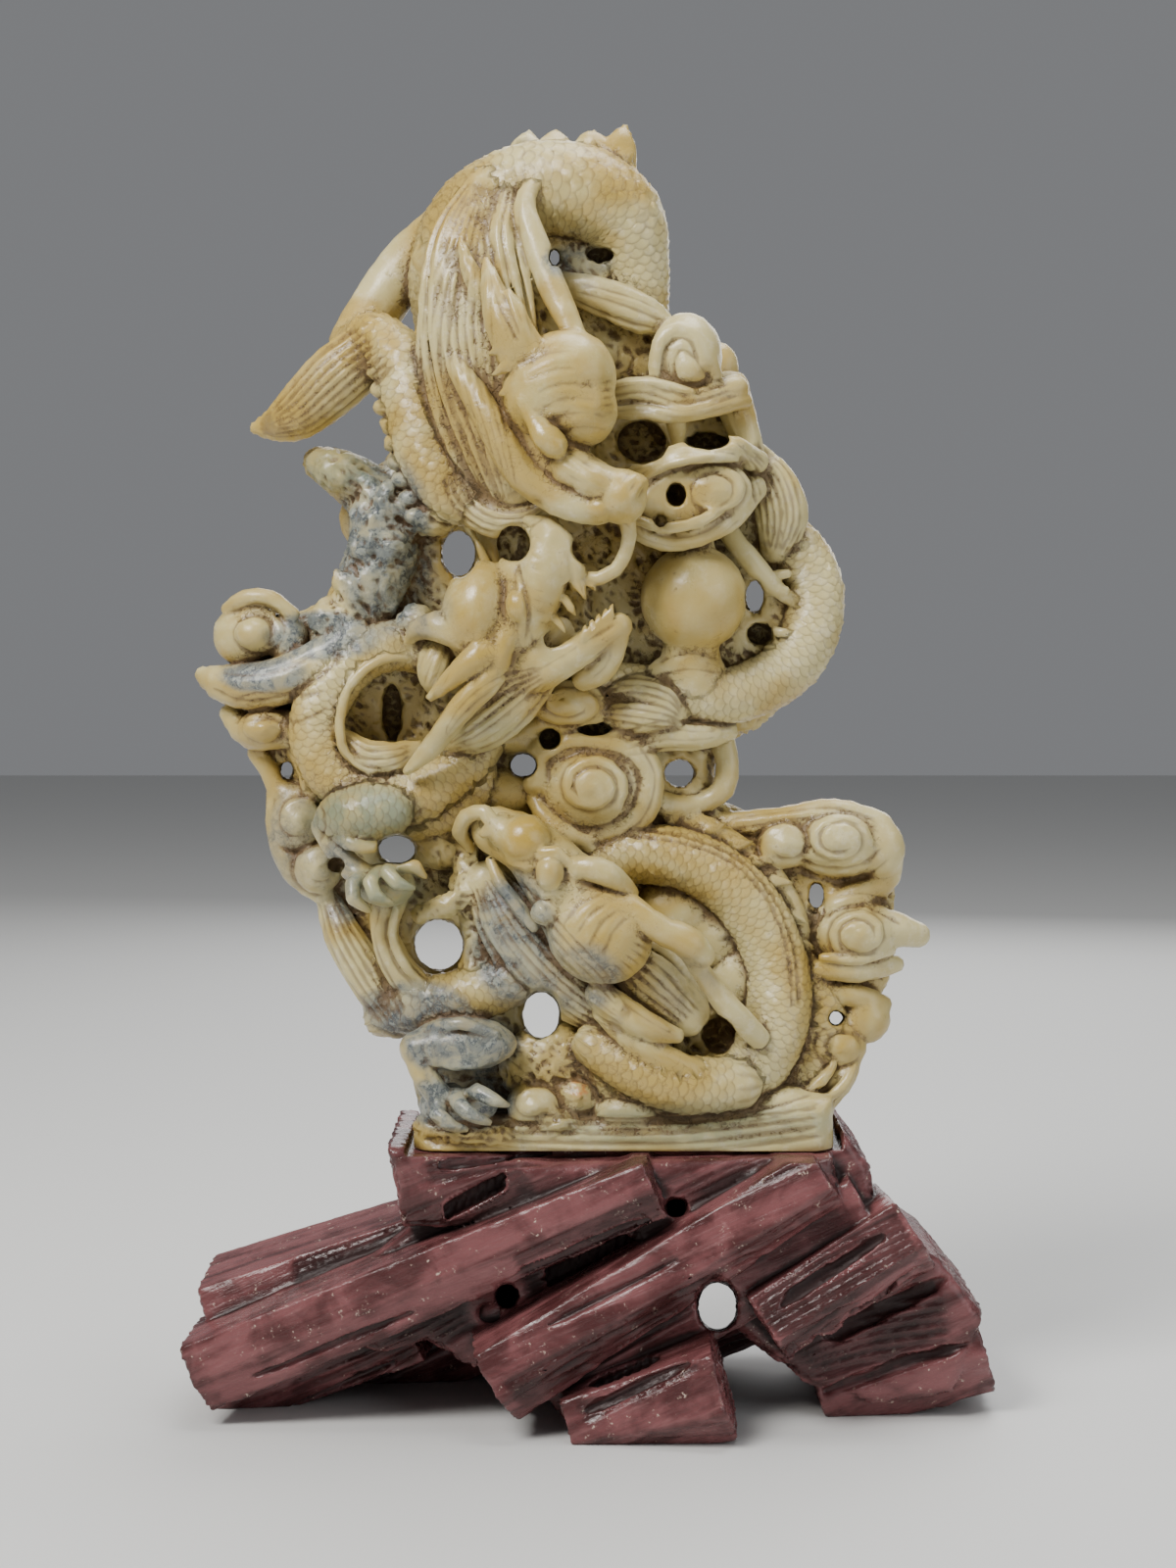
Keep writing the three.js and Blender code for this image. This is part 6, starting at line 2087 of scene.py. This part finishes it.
@dataclass
class RockPlinth(CarvedPiece):
    """The plinth of crystal-like bars that the carving stands on."""

    name: str = "rock_plinth"
    slot: str = "plinth_stone"
    most: int = 150000
    step: float = 0.6

    def sight(self) -> Sight:
        """Give the piece's layout, which rises from the floor."""
        return Sight(LAYOUT_SEAT)

    def joined(self) -> list:
        """List the strokes of stone."""
        bars = [Bar(start, end, deep, CRYSTAL if i % 2 else CRYSTAL_BOLD)
                for i, (start, end, deep) in enumerate(PLINTH_BARS)]
        furrows = [line for rows, count in PLINTH_FURROWS for line in lines(rows, count, 0.95, **FURROW_CUT)]
        return [Web(PLINTH_BODY, -18, 34, 3.0, 0.6), Web(PLINTH_SHOULDER, -26, 30, 3.0, 0.6), *bars, *furrows]

    def removed(self) -> list:
        """List the drilled holes and grooves."""
        return [Drill((a, d), (w, t)) for a, d, w, t in PLINTH_THROUGH_HOLES] + \
               [Drill((a, d), (w, t), back=end) for a, d, w, t, end in PLINTH_BLIND_HOLES]

    def drilled(self, stone: Stone) -> list:
        """List the drilled grooves, ringed by the drill's turns."""
        sight = self.sight()
        out = []
        for start, end, radius in PLINTH_GROOVES:
            a, b = np.array(start, float), np.array(end, float)
            count = int(np.hypot(*(b - a)) / RING_GAP) + 1
            places = [a + (b - a) * k / (count - 1) for k in range(count)]
            deep = float(np.median([stone.front_of(*place, sight) for place in places])) + GROOVE_SINK
            ring = radius + RING_RISE
            out.append(Limb([[*a, deep, radius], [*b, deep, radius]], blend=0.4))
            out += [Mass((*place, deep), (RING_GAP / 2, ring, ring * UNIT), 25, 0.3) for place in places]
        for start, end, radius in PLINTH_CLEFTS:
            a, b = np.array(start, float), np.array(end, float)
            rows = []
            for k in range(CLEFT_STEPS + 1):
                place = a + (b - a) * k / CLEFT_STEPS
                wide = radius * (0.5 if k in (0, CLEFT_STEPS) else 1)
                rows.append([*place, stone.front_of(*place, sight) + CLEFT_SINK, wide])
            out.append(Limb(rows, blend=0.4))
        return out

    def trim(self, stone: Stone) -> None:
        """Cut the underside and the seat of the carving flat."""
        stone.cut_under(0.0)
        seat = box_of("dragon_carving")[0][2] - SEAT_GAP
        sight = self.sight()
        left = sight.place(SEAT_ACROSS[0], SEAT_ROW, 0)[0] - SEAT_CLEARANCE
        right = sight.place(SEAT_ACROSS[1], SEAT_ROW, 0)[0] + SEAT_CLEARANCE
        x, z = stone.axes[0][:, None, None], stone.axes[2][None, None, :]
        out = np.minimum(np.minimum(x - left, right - x), z - seat)
        np.maximum(stone.value, out.astype(np.float32), out=stone.value)

    def relief(self, stone: Stone, places: np.ndarray) -> np.ndarray:
        """Give the height of the streaked, chipped surface."""
        axis = (math.cos(STRIATION_TURN), 0.0, math.sin(STRIATION_TURN))
        streak = Grain(7, 1.4, 4.5, 36, axis, 14.0).at(places)
        outward = stone.gradient(places)
        sides = np.clip((outward[:, 1] + 0.86) / 0.2, 0.12, 1) * np.clip(1.25 - 1.3 * outward[:, 2], 0.15, 1)
        height = sides * (0.7 * np.minimum(streak, 0.4) + 0.3 * Grain(8, 5.0, 14.0, 24, axis, 5.0).at(places))
        height += 0.08 * sides * Grain(9, 1.5, 4.0, 30).at(places)
        keep = np.clip((places[:, 2] - FOOT_CLEAR) / FOOT_FADE, 0, 1)
        seat = box_of("dragon_carving")[0][2] - SEAT_GAP
        on_seat = (np.abs(places[:, 2] - seat) < 0.5) & (np.abs(places[:, 1]) < SEAT_REACH)
        keep = np.where(on_seat, 0, keep)
        return height * keep


@dataclass
class Studio:
    """The floor, the lights and the camera."""

    AIM = (0.0, 0.0, 0.16)  # what the lights face, in metres
    FLOOR_HALF = 3.0
    ROOM_LIGHT = 0.3

    def build(self) -> None:
        """Set up the room."""
        self.floor()
        self.world()
        self.light("key", (-0.55, -0.6, 0.95), 0.4, 16.0, (1.0, 0.98, 0.95))
        self.light("fill", (0.8, -0.6, 0.45), 0.8, 3.5, (0.95, 0.98, 1.0))
        self.light("top", (0.15, 0.1, 1.1), 0.6, 8.0, (1.0, 1.0, 1.0))
        self.light("rear", (0.2, 0.95, 0.6), 0.8, 5.0, (1.0, 1.0, 1.0))
        self.camera()

    def floor(self) -> None:
        """Lay the pale floor."""
        half = self.FLOOR_HALF
        mesh = bpy.data.meshes.new("floor")
        mesh.from_pydata([(-half, -half, 0), (half, -half, 0), (half, half, 0), (-half, half, 0)], [],
                         [(0, 1, 2, 3)])
        floor = bpy.data.objects.new("floor", mesh)
        bpy.context.scene.collection.objects.link(floor)
        g = Graph("floor_paint")
        surface = g.node("ShaderNodeBsdfPrincipled", {},
                         {"Base Color": linear(206, 206, 204), "Roughness": 0.8})[0]
        g.node("ShaderNodeOutputMaterial", {}, {"Surface": surface})
        mesh.materials.append(g.material)

    def world(self) -> None:
        """Give the room an even pale light."""
        world = bpy.data.worlds.new("room")
        world.use_nodes = True
        back = next(n for n in world.node_tree.nodes if n.type == "BACKGROUND")
        back.inputs[0].default_value = linear(214, 216, 220)
        back.inputs[1].default_value = self.ROOM_LIGHT
        bpy.context.scene.world = world

    def light(self, name: str, place: tuple, size: float, power: float, colour: tuple) -> None:
        """Hang a soft light that faces the sculpture.

        Args:
            name: the light's name.
            place: where it hangs in metres.
            size: side of its square in metres.
            power: watts.
            colour: colour.
        """
        data = bpy.data.lights.new(name, "AREA")
        data.size, data.energy, data.color = size, power, colour
        lamp = bpy.data.objects.new(name, data)
        lamp.location = place
        lamp.rotation_euler = (Vector(self.AIM) - Vector(place)).to_track_quat("-Z", "Y").to_euler()
        bpy.context.scene.collection.objects.link(lamp)

    def camera(self) -> None:
        """Stand the camera where the sight lines start."""
        data = bpy.data.cameras.new("camera")
        data.sensor_width = SENSOR
        data.sensor_fit = "AUTO"
        data.lens = FOCAL * SENSOR / PHOTO_ROWS
        data.clip_start = 0.05
        camera = bpy.data.objects.new("camera", data)
        camera.location = (-ORIGIN[0] * MM, -(EYE_DISTANCE + ORIGIN[1]) * MM, EYE_HEIGHT * MM)
        camera.rotation_euler = (math.pi / 2 - PITCH, 0, 0)
        bpy.context.scene.collection.objects.link(camera)
        bpy.context.scene.camera = camera


def main() -> None:
    """Build, dress and place everything."""
    logging.basicConfig(level=logging.INFO, format="%(message)s")
    for piece, material in ((DragonCarving(), Soapstone().make()), (RockPlinth(), PlinthStone().make())):
        piece.dress(piece.build(), material)
    Studio().build()


if __name__ == "__main__":
    main()
